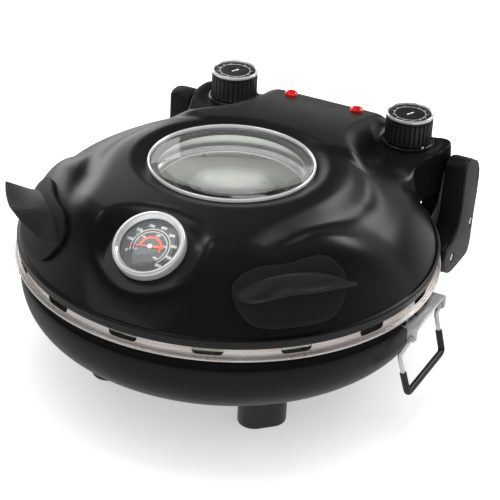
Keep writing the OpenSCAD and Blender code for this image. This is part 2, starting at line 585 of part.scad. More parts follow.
// a point on the dome at angle a and radius r, lifted off the skin by d
function skin(a, r, d) = let (z = smin(rim_z + 2 * (lid_r - r), dome_z(r), 26),
    dz = smin(rim_z + 2 * (lid_r - r - 1), dome_z(r + 1), 26) - z, k = d / norm([1, dz]))
    [(r - dz * k) * cos(a), (r - dz * k) * sin(a), z + k];
function lobe(u) = 1 - pow(abs(2 * u - 1), 5);
function plate_row(v, d) = [for (i = [0 : 12]) let (u = i / 12, a = mix(handle_from, handle_to, u),
    top = 144 - 5.5 * lobe(u) - 4 * ramp(0.45, 0.9, u) * (1 - ramp(0.88, 1, u)), low = 156 + 6 * lobe(u))
    skin(a, mix(top, low, v), d)];
function fin_point(u, w, up) = let (a = mix(handle_from + 2, handle_to + 1, u),
    rise = 4.5 * sin(180 * min(u * 1.1, 1)), reach = 26 * pow(max(sin(min(u, 0.55) / 0.55 * 90), 0), 0.45)
    + 7 * ramp(0.8, 1, u),
    root = 148.4 - (rise + 4.5 * u) / 2, r = root + max(reach - root + 146, 4) * w,
    z = 151 + rise + 4.5 * u - 2 * w * (1 - u) + up * (5 - 3.4 * w))
    [r * cos(a), r * sin(a), z];
// closed skin of an open sheet: rows of the top, then rows of the underside
module sheet_skin(top, low) {
    m = len(top);
    n = len(top[0]);
    pts = concat([for (row = top) for (p = row) p], [for (row = low) for (p = row) p]);
    k = m * n;
    edge = concat([for (j = [0 : n - 2]) [j, j + 1]],
        [for (i = [0 : m - 2]) [i * n + n - 1, (i + 1) * n + n - 1]],
        [for (j = [n - 1 : -1 : 1]) [(m - 1) * n + j, (m - 1) * n + j - 1]],
        [for (i = [m - 1 : -1 : 1]) [i * n, (i - 1) * n]]);
    polyhedron(pts, concat(
        [for (i = [0 : m - 2]) for (j = [0 : n - 2]) for (h = [0, 1])
            let (a = i * n + j, b = a + 1, c = a + n + 1, d = a + n) h == 0 ? [a, b, c] : [a, c, d]],
        [for (i = [0 : m - 2]) for (j = [0 : n - 2]) for (h = [0, 1])
            let (a = k + i * n + j, b = a + 1, c = a + n + 1, d = a + n) h == 0 ? [a, c, b] : [a, d, c]],
        [for (e = edge) for (h = [0, 1]) h == 0 ? [e[1], e[0], e[0] + k] : [e[1], e[0] + k, e[1] + k]]));
}
module handle(side) color(BLACK) for_side(side) difference() {
    union() {
        sheet_skin([for (v = [0 : 0.125 : 1]) plate_row(v, 4)],
                   [for (v = [0 : 0.125 : 1]) plate_row(v, 0.4)]);
        sheet_skin([for (w = [0 : 0.25 : 1]) [for (i = [0 : 12]) fin_point(i / 12, w, 1)]],
                   [for (w = [0 : 0.25 : 1]) [for (i = [0 : 12]) fin_point(i / 12, w, 0)]]);
    }
    for (a = handle_screw_angles) handle_screw_place(1, a)
        translate([0, 0, -8]) cylinder(r = 1.9 + slack, h = 9.2, $fn = 24);
}
module handle_left() handle(-1);
module handle_right() handle(1);
module handle_screws() color(STEEL) centred() for (s = [-1, 1]) for (a = handle_screw_angles)
    handle_screw_place(s, a) {
        translate([0, 0, -4.6]) cylinder(r = 1.9, h = 5.6, $fn = 24);
        translate([0, 0, -6.6]) cylinder(r = 4, h = 2, $fn = 24);
    }

base_shell();
base_collar();
base_pan();
lower_element();
lower_clips();
thermal_cutout();
terminal_block();
cord_inlet();
feet();
foot_screws();
stone_tray();
pizza_stone();
bail_bracket_left();
bail_bracket_right();
bracket_rivets();
hinge_bracket_left();
hinge_bracket_right();
hinge_arm_left();
hinge_arm_right();
arm_cover_left();
arm_cover_right();
arm_screws();
hinge_pin_left();
hinge_pin_right();
bail_left();
bail_right();
bail_sleeve_left();
bail_sleeve_right();
lid_shell();
lid_liner();
upper_element();
upper_clips();
window_ring();
window_glass();
window_gasket();
inner_glass();
gauge_case();
gauge_bezel();
gauge_dial();
gauge_needle();
gauge_lens();
knob_left();
knob_right();
knob_ring_left();
knob_ring_right();
knob_collar_left();
knob_collar_right();
timer_shaft();
thermostat_shaft();
timer();
thermostat();
control_floor();
lamp_left();
lamp_right();
handle_left();
handle_right();
handle_screws();
hinge_bush_left();
hinge_bush_right();
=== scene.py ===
"""Looks of a round electric pizza oven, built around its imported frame."""

import math

import bmesh
import bpy
import numpy as np
from mathutils import Matrix, Vector


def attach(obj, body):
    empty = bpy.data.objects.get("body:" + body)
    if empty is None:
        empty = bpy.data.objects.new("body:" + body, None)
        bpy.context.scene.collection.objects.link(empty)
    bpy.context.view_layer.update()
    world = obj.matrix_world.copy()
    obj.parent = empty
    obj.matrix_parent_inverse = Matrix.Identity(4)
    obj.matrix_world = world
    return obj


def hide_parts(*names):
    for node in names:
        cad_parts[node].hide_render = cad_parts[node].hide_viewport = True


bl_info = {
    "name": "Pizza Oven Builder",
    "version": (1, 0, 0),
    "blender": (4, 5, 0),
    "location": "3D View > Sidebar > Pizza Oven",
    "description": "Builds a round countertop pizza oven piece by piece",
    "category": "Object",
}

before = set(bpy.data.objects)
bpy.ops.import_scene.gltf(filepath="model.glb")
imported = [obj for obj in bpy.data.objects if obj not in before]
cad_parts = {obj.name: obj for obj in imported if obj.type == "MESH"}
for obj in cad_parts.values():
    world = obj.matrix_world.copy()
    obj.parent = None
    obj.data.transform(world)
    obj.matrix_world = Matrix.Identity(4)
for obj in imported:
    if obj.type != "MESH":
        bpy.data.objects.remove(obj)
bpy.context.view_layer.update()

MM = 0.001
AXIS_Y = -10.0          # the body's axis in the frame, mm
RIM_Z, RIM_LOW, REAR_LOW = 117.0, 113.8, 120.0
LID_R, HOLE_R = 165.4, 64.0
BLOCK_X, BLOCK_Y = 119.3, 184.0
SEAT_Z, PAD_Z, LID_WALL = 174.6, 149.0, 2.2
KNOB_X, KNOB_Y = 82.5, 163.0
LAMP_X, LAMP_Y = 31.0, 170.6
GAUGE_Y, GAUGE_Z, GAUGE_TILT = -131.0, 166.5, math.radians(32)
HINGE_Y, HINGE_Z = 172.0, 125.7
BOWL_R, BOWL_TOP, BOWL_BOTTOM = 166.0, 89.8, 27.0
FLANGE_R, FLANGE_Z = 170.0, 101.0
SLOT_Z, SLOT_H = 106.6, 7.4
BAIL_X, BAIL_Z, EAR_Y, BRACKET_Z = 173.0, 86.0, 29.0, 92.8


# ------------------------------------------------------------ user settings
class OvenSizes(bpy.types.PropertyGroup):
    """Sizes a user would change, in millimetres."""

    knob_radius: bpy.props.FloatProperty(
        name="Knob radius", description="Outer radius of the ribbed knobs, mm", default=19.9, min=15, max=21)
    knob_ribs: bpy.props.IntProperty(
        name="Knob ribs", description="Number of grip ribs on each knob", default=30, min=12, max=48)
    slot_count: bpy.props.IntProperty(
        name="Vent slots", description="Number of vent slots round the tray", default=16, min=8, max=24)
    slot_length: bpy.props.FloatProperty(
        name="Slot length", description="Length of each vent slot, mm", default=23.5, min=8, max=26)
    wire_diameter: bpy.props.FloatProperty(
        name="Bail wire", description="Diameter of the carrying bail's wire, mm", default=3.6, min=2, max=5)


class OvenColours(bpy.types.PropertyGroup):
    """Colours a user would change."""

    enamel: bpy.props.FloatVectorProperty(
        name="Body enamel", description="Paint of the lid and the bowl", subtype="COLOR", size=3,
        default=(0.005, 0.005, 0.0053), min=0, max=1)
    plastic: bpy.props.FloatVectorProperty(
        name="Black plastic", description="Handles, arms, knobs and feet", subtype="COLOR", size=3,
        default=(0.010, 0.010, 0.0105), min=0, max=1)
    stone: bpy.props.FloatVectorProperty(
        name="Baking stone", description="Fired stone in the tray", subtype="COLOR", size=3,
        default=(0.80, 0.83, 0.77), min=0, max=1)
    lamp: bpy.props.FloatVectorProperty(
        name="Lamp lens", description="Indicator lamps", subtype="COLOR", size=3,
        default=(0.68, 0.008, 0.008), min=0, max=1)
    scale_band: bpy.props.FloatVectorProperty(
        name="Gauge band", description="Coloured band and needle of the gauge", subtype="COLOR", size=3,
        default=(0.78, 0.11, 0.05), min=0, max=1)


def sizes():
    return bpy.context.scene.oven_sizes


def colours():
    return bpy.context.scene.oven_colours


# ------------------------------------------------------------ lid form
def smin(a, b, k):
    h = np.maximum(k - np.abs(a - b), 0) / k
    return np.minimum(a, b) - h * h * k / 4


def smax(a, b, k):
    return -smin(-a, -b, k)


def mix(a, b, t):
    return a + (b - a) * t


def ramp(a, b, x):
    t = np.clip((x - a) / (b - a), 0, 1)
    return t * t * (3 - 2 * t)


def bend(a, b, x, k=0.3):
    """Straight ramp from 0 to 1 with rounded ends."""
    t = (x - a) / (b - a)
    return smin(smax(t, 0.0 * t, k), 1.0 + 0.0 * t, k)


def fold(a):
    return np.degrees(np.arcsin(np.clip(np.sin(a), -1, 1)))


def lid_edge(a):
    f = fold(a)
    side = BLOCK_X - 14 * (1 - ramp(47, 54.5, f))
    rad = np.radians(f)
    edge = smin(side / np.maximum(np.cos(rad), 0.01), BLOCK_Y / np.maximum(np.sin(rad), 0.01), 16)
    return np.where(f < 40, LID_R, smax(LID_R + 0 * f, edge, 10))


def in_block(a):
    f = fold(a)
    return np.where(f < 40, 0, ramp(48, 53, f))


def into_block(a):
    """How far the shoulder has turned into the control block."""
    f = fold(a)
    return np.where(f < 40, 0, ramp(42, 55, f))


def skirt(a):
    """The skirt below the lip fades out towards the hinge."""
    return 1 - ramp(28, 42, fold(a))


def foot_z(a):
    f = fold(a)
    return RIM_Z + (REAR_LOW - RIM_Z) * np.where(f < 40, 0, ramp(57, 62, f))


def dome_z(r):
    return 176.5 - 0.0011 * np.maximum(r - 60, 0) ** 2


def deck_half(y):
    """Half width of the raised deck: widest beside the window, narrower to the nose and to the rear."""
    front = y < 12
    return np.where(front, 57, 49) + np.where(front, 38, 46) * np.exp(-((y - 12) / np.where(front, 100, 62)) ** 2)


def deck_top(r, y):
    rear = ramp(52, 100, y)
    crown = dome_z(r) + 4 - 0.008 * np.maximum(r - 70, 0) ** 2 * ramp(-40, 20, y) * (1 - rear) + 60 * rear
    return smin(smin(180.5 + 0 * y, 180.5 - 0.222 * (y - 82), 14), crown, 10)


def flank_drop(r, y):
    """The flanks fall away outside the deck, from beside the handles to the rear."""
    return 0.25 * (r - 97 + np.hypot(r - 97, 8)) * ramp(-68, -4, y)


def crown_z(x, y):
    r = np.hypot(x, y)
    low = mix(dome_z(r) - flank_drop(r, y), 150.5, ramp(85, 140, y))
    mask = (1 - bend(0, 16, np.abs(x) - deck_half(y))) * ramp(-150, -118, y)
    depth = 4.0 * np.exp(-((y - 104) / 24) ** 2) + 3.6 * ramp(-125, -70, y) * (1 - ramp(15, 75, y))
    channel = depth * np.exp(-((np.abs(x) - deck_half(y) - 12) / 10) ** 2)
    return mix(low + (deck_top(r, y) - low) * mask - channel, SEAT_Z, 1 - bend(68, 78, r, 0.35))


def dish_z(y):
    return GAUGE_Z - 9 / math.cos(GAUGE_TILT) + math.tan(GAUGE_TILT) * (y - GAUGE_Y)


def lid_z(x, y):
    a, r = np.arctan2(y, x), np.hypot(x, y)
    wall = foot_z(a) + mix(2, 13, into_block(a)) * (lid_edge(a) - r)
    pad = 1 - ramp(24, 31, np.hypot(np.abs(x) - KNOB_X, y - KNOB_Y))
    top = mix(crown_z(x, y), PAD_Z, pad)
    z = smin(wall, top, mix(26, 10, into_block(a)))
    return mix(z, dish_z(y), 1 - ramp(31, 49, np.hypot(x, (y - GAUGE_Y) / math.cos(GAUGE_TILT))))


# ------------------------------------------------------------ mesh helpers
def chain(points):
    """A bmesh holding one open chain of vertices; points are (r, z) in mm."""
    bm = bmesh.new()
    verts = [bm.verts.new((r, 0, z)) for r, z in points]
    for a, b in zip(verts, verts[1:]):
        bm.edges.new((a, b))
    return bm


def revolve(points, steps=96, closed=True):
    """Solid of revolution about Z of an outline given as (r, z)."""
    bm = chain(points)
    if closed:
        bm.verts.ensure_lookup_table()
        bm.edges.new((bm.verts[-1], bm.verts[0]))
    bmesh.ops.spin(bm, geom=bm.verts[:] + bm.edges[:], cent=(0, 0, 0), axis=(0, 0, 1),
                   angle=2 * math.pi, steps=steps, use_merge=True)
    bmesh.ops.remove_doubles(bm, verts=bm.verts[:], dist=1e-4)
    flat = [f for f in bm.faces if f.calc_area() < 1e-7]
    bmesh.ops.delete(bm, geom=flat, context="FACES")
    bmesh.ops.recalc_face_normals(bm, faces=bm.faces[:])
    return bm


def rounded(points, radius, steps=3, closed=True):
    """Outline with every corner replaced by a small arc. radius is one number or one per corner."""
    n, out = len(points), []
    for i, p in enumerate(points):
        r = radius[i] if isinstance(radius, (list, tuple)) else radius
        if r <= 0 or (not closed and i in (0, n - 1)):
            out.append(tuple(p))
            continue
        p, a, b = Vector(p), Vector(points[i - 1]), Vector(points[(i + 1) % n])
        u, v = (a - p), (b - p)
        reach = min(r, u.length * 0.45, v.length * 0.45)
        a, b = p + u.normalized() * reach, p + v.normalized() * reach
        for k in range(steps + 1):
            t = k / steps
            out.append(tuple((1 - t) ** 2 * a + 2 * t * (1 - t) * p + t * t * b))
    return out


def prism(outline, low, high):
    """Outline in XY pulled up from low to high."""
    bm = bmesh.new()
    face = bm.faces.new([bm.verts.new((x, y, low)) for x, y in outline])
    top = bmesh.ops.extrude_face_region(bm, geom=[face])
    moved = [g for g in top["geom"] if isinstance(g, bmesh.types.BMVert)]
    bmesh.ops.translate(bm, verts=moved, vec=(0, 0, high - low))
    bmesh.ops.recalc_face_normals(bm, faces=bm.faces[:])
    return bm


def soften(bm, width, segments=2, angle=30, edges=None):
    """Bevels the edges that are sharper than angle."""
    limit = math.radians(angle)
    picked = edges or [e for e in bm.edges if len(e.link_faces) == 2 and e.calc_face_angle(0) > limit]
    bmesh.ops.bevel(bm, geom=picked, offset=width, offset_type="OFFSET", segments=segments,
                    profile=0.5, affect="EDGES", clamp_overlap=True, material=-1)
    return bm


def joined(*parts):
    """One bmesh from several, each part a bmesh or a (bmesh, Matrix) pair."""
    out = bmesh.new()
    for part in parts:
        bm, place = part if isinstance(part, tuple) else (part, Matrix.Identity(4))
        bmesh.ops.transform(bm, matrix=place, verts=bm.verts[:])
        if place.determinant() < 0:
            bmesh.ops.reverse_faces(bm, faces=bm.faces[:])
        mesh = bpy.data.meshes.new("join")
        bm.to_mesh(mesh)
        bm.free()
        out.from_mesh(mesh)
        bpy.data.meshes.remove(mesh)
    return out


def copy_of(bm):
    return bm.copy()


def mirrored(bm):
    """The same piece on the other side."""
    out = bm.copy()
    bmesh.ops.scale(out, vec=(-1, 1, 1), verts=out.verts[:])
    bmesh.ops.reverse_faces(out, faces=out.faces[:])
    return out


def set_material(bm, index, test=lambda f: True):
    for f in bm.faces:
        if test(f):
            f.material_index = index
    return bm


def tube(path, radius, corner=4.0, sides=16, resolution=8):
    """A round wire along a path of points with rounded corners."""
    pts = []
    for i, p in enumerate(path):
        p = Vector(p)
        if i in (0, len(path) - 1):
            pts.append(p)
            continue
        u, v = Vector(path[i - 1]) - p, Vector(path[i + 1]) - p
        reach = min(corner, u.length * 0.45, v.length * 0.45)
        a, b = p + u.normalized() * reach, p + v.normalized() * reach
        pts += [(1 - t) ** 2 * a + 2 * t * (1 - t) * p + t * t * b
                for t in (k / resolution for k in range(resolution + 1))]
    curve = bpy.data.curves.new("wire", "CURVE")
    curve.dimensions = "3D"
    curve.bevel_depth = radius
    curve.bevel_resolution = max(sides // 4 - 1, 1)
    curve.use_fill_caps = True
    spline = curve.splines.new("POLY")
    spline.points.add(len(pts) - 1)
    for q, p in zip(spline.points, pts):
        q.co = (*p, 1)
    return curve_mesh(curve)


def curve_mesh(curve):
    holder = bpy.data.objects.new("wire", curve)
    bpy.context.scene.collection.objects.link(holder)
    bpy.context.view_layer.update()
    mesh = bpy.data.meshes.new_from_object(holder.evaluated_get(bpy.context.evaluated_depsgraph_get()))
    bm = bmesh.new()
    bm.from_mesh(mesh)
    bpy.data.objects.remove(holder)
    bpy.data.meshes.remove(mesh)
    bpy.data.curves.remove(curve)
    bmesh.ops.remove_doubles(bm, verts=bm.verts[:], dist=1e-5)
    return bm


def digits(text, size, height=0.05):
    """Flat raised figures centred on the origin."""
    font = bpy.data.curves.new("figures", "FONT")
    font.body = text
    font.size = size
    font.align_x = font.align_y = "CENTER"
    font.resolution_u = 2
    font.extrude = height
    font.offset = 0.02 * size
    return curve_mesh(font)


def cut(bm, tool):
    """Takes tool out of bm."""
    objects = []
    for name, part in (("whole", bm), ("tool", tool)):
        mesh = bpy.data.meshes.new(name)
        part.to_mesh(mesh)
        part.free()
        holder = bpy.data.objects.new(name, mesh)
        bpy.context.scene.collection.objects.link(holder)
        objects.append(holder)
    modifier = objects[0].modifiers.new("cut", "BOOLEAN")
    modifier.object = objects[1]
    modifier.solver = "EXACT"
    bpy.context.view_layer.update()
    mesh = bpy.data.meshes.new_from_object(
        objects[0].evaluated_get(bpy.context.evaluated_depsgraph_get()))
    out = bmesh.new()
    out.from_mesh(mesh)
    for holder in objects:
        old = holder.data
        bpy.data.objects.remove(holder)
        bpy.data.meshes.remove(old)
    bpy.data.meshes.remove(mesh)
    return out


def piece(name, bm, body, materials, replaces=(), sharp=35, weighted=False):
    """Makes the finished object: mm to m, smooth faces, material, body."""
    bmesh.ops.translate(bm, verts=bm.verts[:], vec=(0, AXIS_Y, 0))
    bmesh.ops.scale(bm, vec=(MM, MM, MM), verts=bm.verts[:])
    mesh = bpy.data.meshes.new(name)
    bm.to_mesh(mesh)
    bm.free()
    mesh.polygons.foreach_set("use_smooth", [True] * len(mesh.polygons))
    mesh.set_sharp_from_angle(angle=math.radians(sharp))
    holder = bpy.data.objects.new(name, mesh)
    bpy.context.scene.collection.objects.link(holder)
    for material in materials if isinstance(materials, (list, tuple)) else [materials]:
        mesh.materials.append(finish(material))
    if weighted:
        holder.modifiers.new("shade", "WEIGHTED_NORMAL").keep_sharp = True
    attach(holder, body)
    for node in replaces:
        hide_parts(node)
    return holder


def turn(angle, axis="Z"):
    return Matrix.Rotation(math.radians(angle), 4, axis)


def move(x, y, z):
    return Matrix.Translation((x, y, z))


GAUGE = move(0, GAUGE_Y, GAUGE_Z) @ Matrix.Rotation(GAUGE_TILT, 4, "X")
SIDES = (("left", -1), ("right", 1))


# ------------------------------------------------------------ shared shader groups
def socket(group, name, kind, default=None, out=False):
    made = group.interface.new_socket(name=name, in_out="OUTPUT" if out else "INPUT", socket_type=kind)
    if default is not None:
        made.default_value = default
    return made


def node(tree, kind, inputs=None, **props):
    made = tree.nodes.new(kind)
    for key, value in props.items():
        setattr(made, key, value)
    for key, value in (inputs or {}).items():
        if isinstance(value, bpy.types.NodeSocket):
            tree.links.new(value, made.inputs[key])
        else:
            made.inputs[key].default_value = value
    return made


def math_node(tree, operation, a, b=0.0):
    return node(tree, "ShaderNodeMath", {0: a, 1: b}, operation=operation).outputs[0]


def new_group(name, inputs, outputs):
    group = bpy.data.node_groups.new(name, "ShaderNodeTree")
    for label, default in inputs:
        socket(group, label, "NodeSocketFloat", default)
    for label in outputs:
        socket(group, label, "NodeSocketFloat", out=True)
    start = group.nodes.new("NodeGroupInput")
    end = group.nodes.new("NodeGroupOutput")
    return group, start, end


def build_mottle():
    """Slow uneven value between Low and High."""
    group, start, end = new_group("mottle", [("Scale", 20.0), ("Low", 0.3), ("High", 0.4)], ["Value"])
    where = node(group, "ShaderNodeTexCoord").outputs["Object"]
    noise = node(group, "ShaderNodeTexNoise", {"Vector": where, "Scale": start.outputs["Scale"],
                                               "Detail": 5.0, "Roughness": 0.55})
    spread = node(group, "ShaderNodeMapRange", {"Value": noise.outputs["Fac"], "From Min": 0.3, "From Max": 0.7,
                                                "To Min": start.outputs["Low"], "To Max": start.outputs["High"]})
    group.links.new(spread.outputs[0], end.inputs["Value"])
    return group


def build_grain():
    """Fine moulded or sprayed grain for a Bump node's Height."""
    group, start, end = new_group("grain", [("Scale", 900.0), ("Coarse", 0.3)], ["Height"])
    where = node(group, "ShaderNodeTexCoord").outputs["Object"]
    fine = node(group, "ShaderNodeTexNoise", {"Vector": where, "Scale": start.outputs["Scale"], "Detail": 3.0})
    wide = math_node(group, "MULTIPLY", start.outputs["Scale"], 0.12)
    slow = node(group, "ShaderNodeTexNoise", {"Vector": where, "Scale": wide, "Detail": 2.0})
    part = math_node(group, "MULTIPLY", slow.outputs["Fac"], start.outputs["Coarse"])
    total = math_node(group, "ADD", fine.outputs["Fac"], part)
    group.links.new(total, end.inputs["Height"])
    return group


def build_edge_wear_and_highlight():
    """Mask of the convex edges, broken up by noise: edge wear together with a painted highlight along the edges."""
    group, start, end = new_group("edge_wear_and_highlight", [("Amount", 0.5), ("Scale", 60.0)], ["Mask"])
    sharpness = node(group, "ShaderNodeNewGeometry").outputs["Pointiness"]
    ridge = node(group, "ShaderNodeMapRange", {"Value": sharpness, "From Min": 0.52, "From Max": 0.62,
                                               "To Min": 0.0, "To Max": 1.0}).outputs[0]
    where = node(group, "ShaderNodeTexCoord").outputs["Object"]
    noise = node(group, "ShaderNodeTexNoise", {"Vector": where, "Scale": start.outputs["Scale"], "Detail": 4.0})
    broken = node(group, "ShaderNodeMapRange", {"Value": noise.outputs["Fac"], "From Min": 0.35, "From Max": 0.65,
                                                "To Min": 0.3, "To Max": 1.0}).outputs[0]
    mask = math_node(group, "MULTIPLY", math_node(group, "MULTIPLY", ridge, broken), start.outputs["Amount"])
    group.links.new(mask, end.inputs["Mask"])
    return group


def build_brushed():
    """Fine lines that run round the body's upright axis."""
    group, start, end = new_group("brushed_round", [("Scale", 700.0), ("Along", 6.0)], ["Height", "Mask"])
    where = node(group, "ShaderNodeTexCoord").outputs["Object"]
    centred = node(group, "ShaderNodeMapping", {"Vector": where, "Location": (0, -AXIS_Y * MM, 0)}).outputs[0]
    split = node(group, "ShaderNodeSeparateXYZ", {0: centred})
    angle = math_node(group, "ARCTAN2", split.outputs[1], split.outputs[0])
    radius = math_node(group, "SQRT", math_node(group, "ADD", math_node(group, "MULTIPLY", split.outputs[0], split.outputs[0]),
                                                math_node(group, "MULTIPLY", split.outputs[1], split.outputs[1])))
    packed = node(group, "ShaderNodeCombineXYZ", {
        0: math_node(group, "MULTIPLY", radius, start.outputs["Scale"]),
        1: math_node(group, "MULTIPLY", split.outputs[2], start.outputs["Scale"]),
        2: math_node(group, "MULTIPLY", angle, start.outputs["Along"])})
    noise = node(group, "ShaderNodeTexNoise", {"Vector": packed.outputs[0], "Scale": 1.0, "Detail": 4.0})
    group.links.new(noise.outputs["Fac"], end.inputs["Height"])
    spread = node(group, "ShaderNodeMapRange", {"Value": noise.outputs["Fac"], "From Min": 0.35, "From Max": 0.65})
    group.links.new(spread.outputs[0], end.inputs["Mask"])
    return group


BUILDERS = {"mottle": build_mottle, "grain": build_grain, "edge_wear_and_highlight": build_edge_wear_and_highlight,
            "brushed_round": build_brushed}


def effect(tree, name, **inputs):
    group = bpy.data.node_groups.get(name) or BUILDERS[name]()
    made = tree.nodes.new("ShaderNodeGroup")
    made.node_tree = group
    for key, value in inputs.items():
        made.inputs[key.capitalize()].default_value = value
    return made


# ------------------------------------------------------------ finishes
def start_material(name):
    material = bpy.data.materials.new(name)
    material.use_nodes = True
    tree = material.node_tree
    return material, tree, tree.nodes["Principled BSDF"]


def add_bump(tree, shader, height, strength, distance):
    bump = node(tree, "ShaderNodeBump", {"Strength": strength, "Distance": distance, "Height": height})
    tree.links.new(bump.outputs[0], shader.inputs["Normal"])


def two_tone(tree, mask, low, high):
    blend = node(tree, "ShaderNodeMix", data_type="RGBA")
    tree.links.new(mask, blend.inputs[0])
    blend.inputs[6].default_value = (*low, 1)
    blend.inputs[7].default_value = (*high, 1)
    return blend.outputs[2]


def painted(name, colour, rough, wear_and_highlight=0.5, wear_and_highlight_colour=(0.05, 0.05, 0.051), grain=1400.0, bump=0.05,
            coat=0.0, mottle=14.0, specular=0.5):
    """Sprayed or moulded black surface with grain, uneven gloss and lighter edges, which stand for edge wear and a
    painted highlight.
    """
    material, tree, shader = start_material(name)
    # Lighter convex edges: edge wear together with a painted highlight.
    mask = effect(tree, "edge_wear_and_highlight", amount=wear_and_highlight, scale=70.0).outputs["Mask"]
    tree.links.new(two_tone(tree, mask, colour, wear_and_highlight_colour), shader.inputs["Base Color"])
    gloss = effect(tree, "mottle", scale=mottle, low=rough[0], high=rough[1])
    tree.links.new(gloss.outputs["Value"], shader.inputs["Roughness"])
    add_bump(tree, shader, effect(tree, "grain", scale=grain, coarse=0.4).outputs["Height"], bump, 0.0004)
    shader.inputs["Coat Weight"].default_value = coat
    shader.inputs["Coat Roughness"].default_value = 0.12
    shader.inputs["Specular IOR Level"].default_value = specular
    return material


def metal(name, colour, dark, rough, lines=700.0, along=6.0, bump=0.05, mottle=30.0, metallic=0.7):
    """Bare or plated metal, brushed round the axis."""
    material, tree, shader = start_material(name)
    brushed = effect(tree, "brushed_round", scale=lines, along=along)
    tree.links.new(two_tone(tree, brushed.outputs["Mask"], dark, colour), shader.inputs["Base Color"])
    shader.inputs["Metallic"].default_value = metallic
    gloss = effect(tree, "mottle", scale=mottle, low=rough[0], high=rough[1])
    tree.links.new(gloss.outputs["Value"], shader.inputs["Roughness"])
    add_bump(tree, shader, brushed.outputs["Height"], bump, 0.0003)
    return material


def mineral(name, colour, dark, rough, scale=240.0, bump=0.25):
    """Matt body with fine specks."""
    material, tree, shader = start_material(name)
    speck = effect(tree, "mottle", scale=scale, low=0.0, high=1.0)
    tree.links.new(two_tone(tree, speck.outputs["Value"], dark, colour), shader.inputs["Base Color"])
    gloss = effect(tree, "mottle", scale=30.0, low=rough[0], high=rough[1])
    tree.links.new(gloss.outputs["Value"], shader.inputs["Roughness"])
    add_bump(tree, shader, effect(tree, "grain", scale=scale * 3, coarse=0.6).outputs["Height"], bump, 0.0004)
    return material


def clear_glass(name, tint):
    """Clear sheet that lets the lamps' light through to what is below it."""
    material, tree, shader = start_material(name)
    shader.inputs["Base Color"].default_value = (*tint, 1)
    shader.inputs["Transmission Weight"].default_value = 1.0
    shader.inputs["IOR"].default_value = 1.46
    smear = effect(tree, "mottle", scale=25.0, low=0.0, high=0.035)
    tree.links.new(smear.outputs["Value"], shader.inputs["Roughness"])
    see_through = node(tree, "ShaderNodeBsdfTransparent", {"Color": (*tint, 1)})
    rays = node(tree, "ShaderNodeLightPath")
    either = math_node(tree, "MAXIMUM", rays.outputs["Is Shadow Ray"], rays.outputs["Is Diffuse Ray"])
    blend = node(tree, "ShaderNodeMixShader", {0: either, 1: shader.outputs[0], 2: see_through.outputs[0]})
    tree.links.new(blend.outputs[0], tree.nodes["Material Output"].inputs["Surface"])
    return material


def lamp_lens(name, colour):
    material, tree, shader = start_material(name)
    deep = tuple(c * 0.45 for c in colour)
    blotch = effect(tree, "mottle", scale=160.0, low=0.0, high=1.0)
    tree.links.new(two_tone(tree, blotch.outputs["Value"], deep, colour), shader.inputs["Base Color"])
    gloss = effect(tree, "mottle", scale=80.0, low=0.08, high=0.16)
    tree.links.new(gloss.outputs["Value"], shader.inputs["Roughness"])
    add_bump(tree, shader, effect(tree, "grain", scale=500.0, coarse=1.0).outputs["Height"], 0.15, 0.0006)
    shader.inputs["Coat Weight"].default_value = 1.0
    shader.inputs["Coat Roughness"].default_value = 0.04
    shader.inputs["Subsurface Weight"].default_value = 0.2
    shader.inputs["Subsurface Radius"].default_value = (0.004, 0.001, 0.001)
    return material


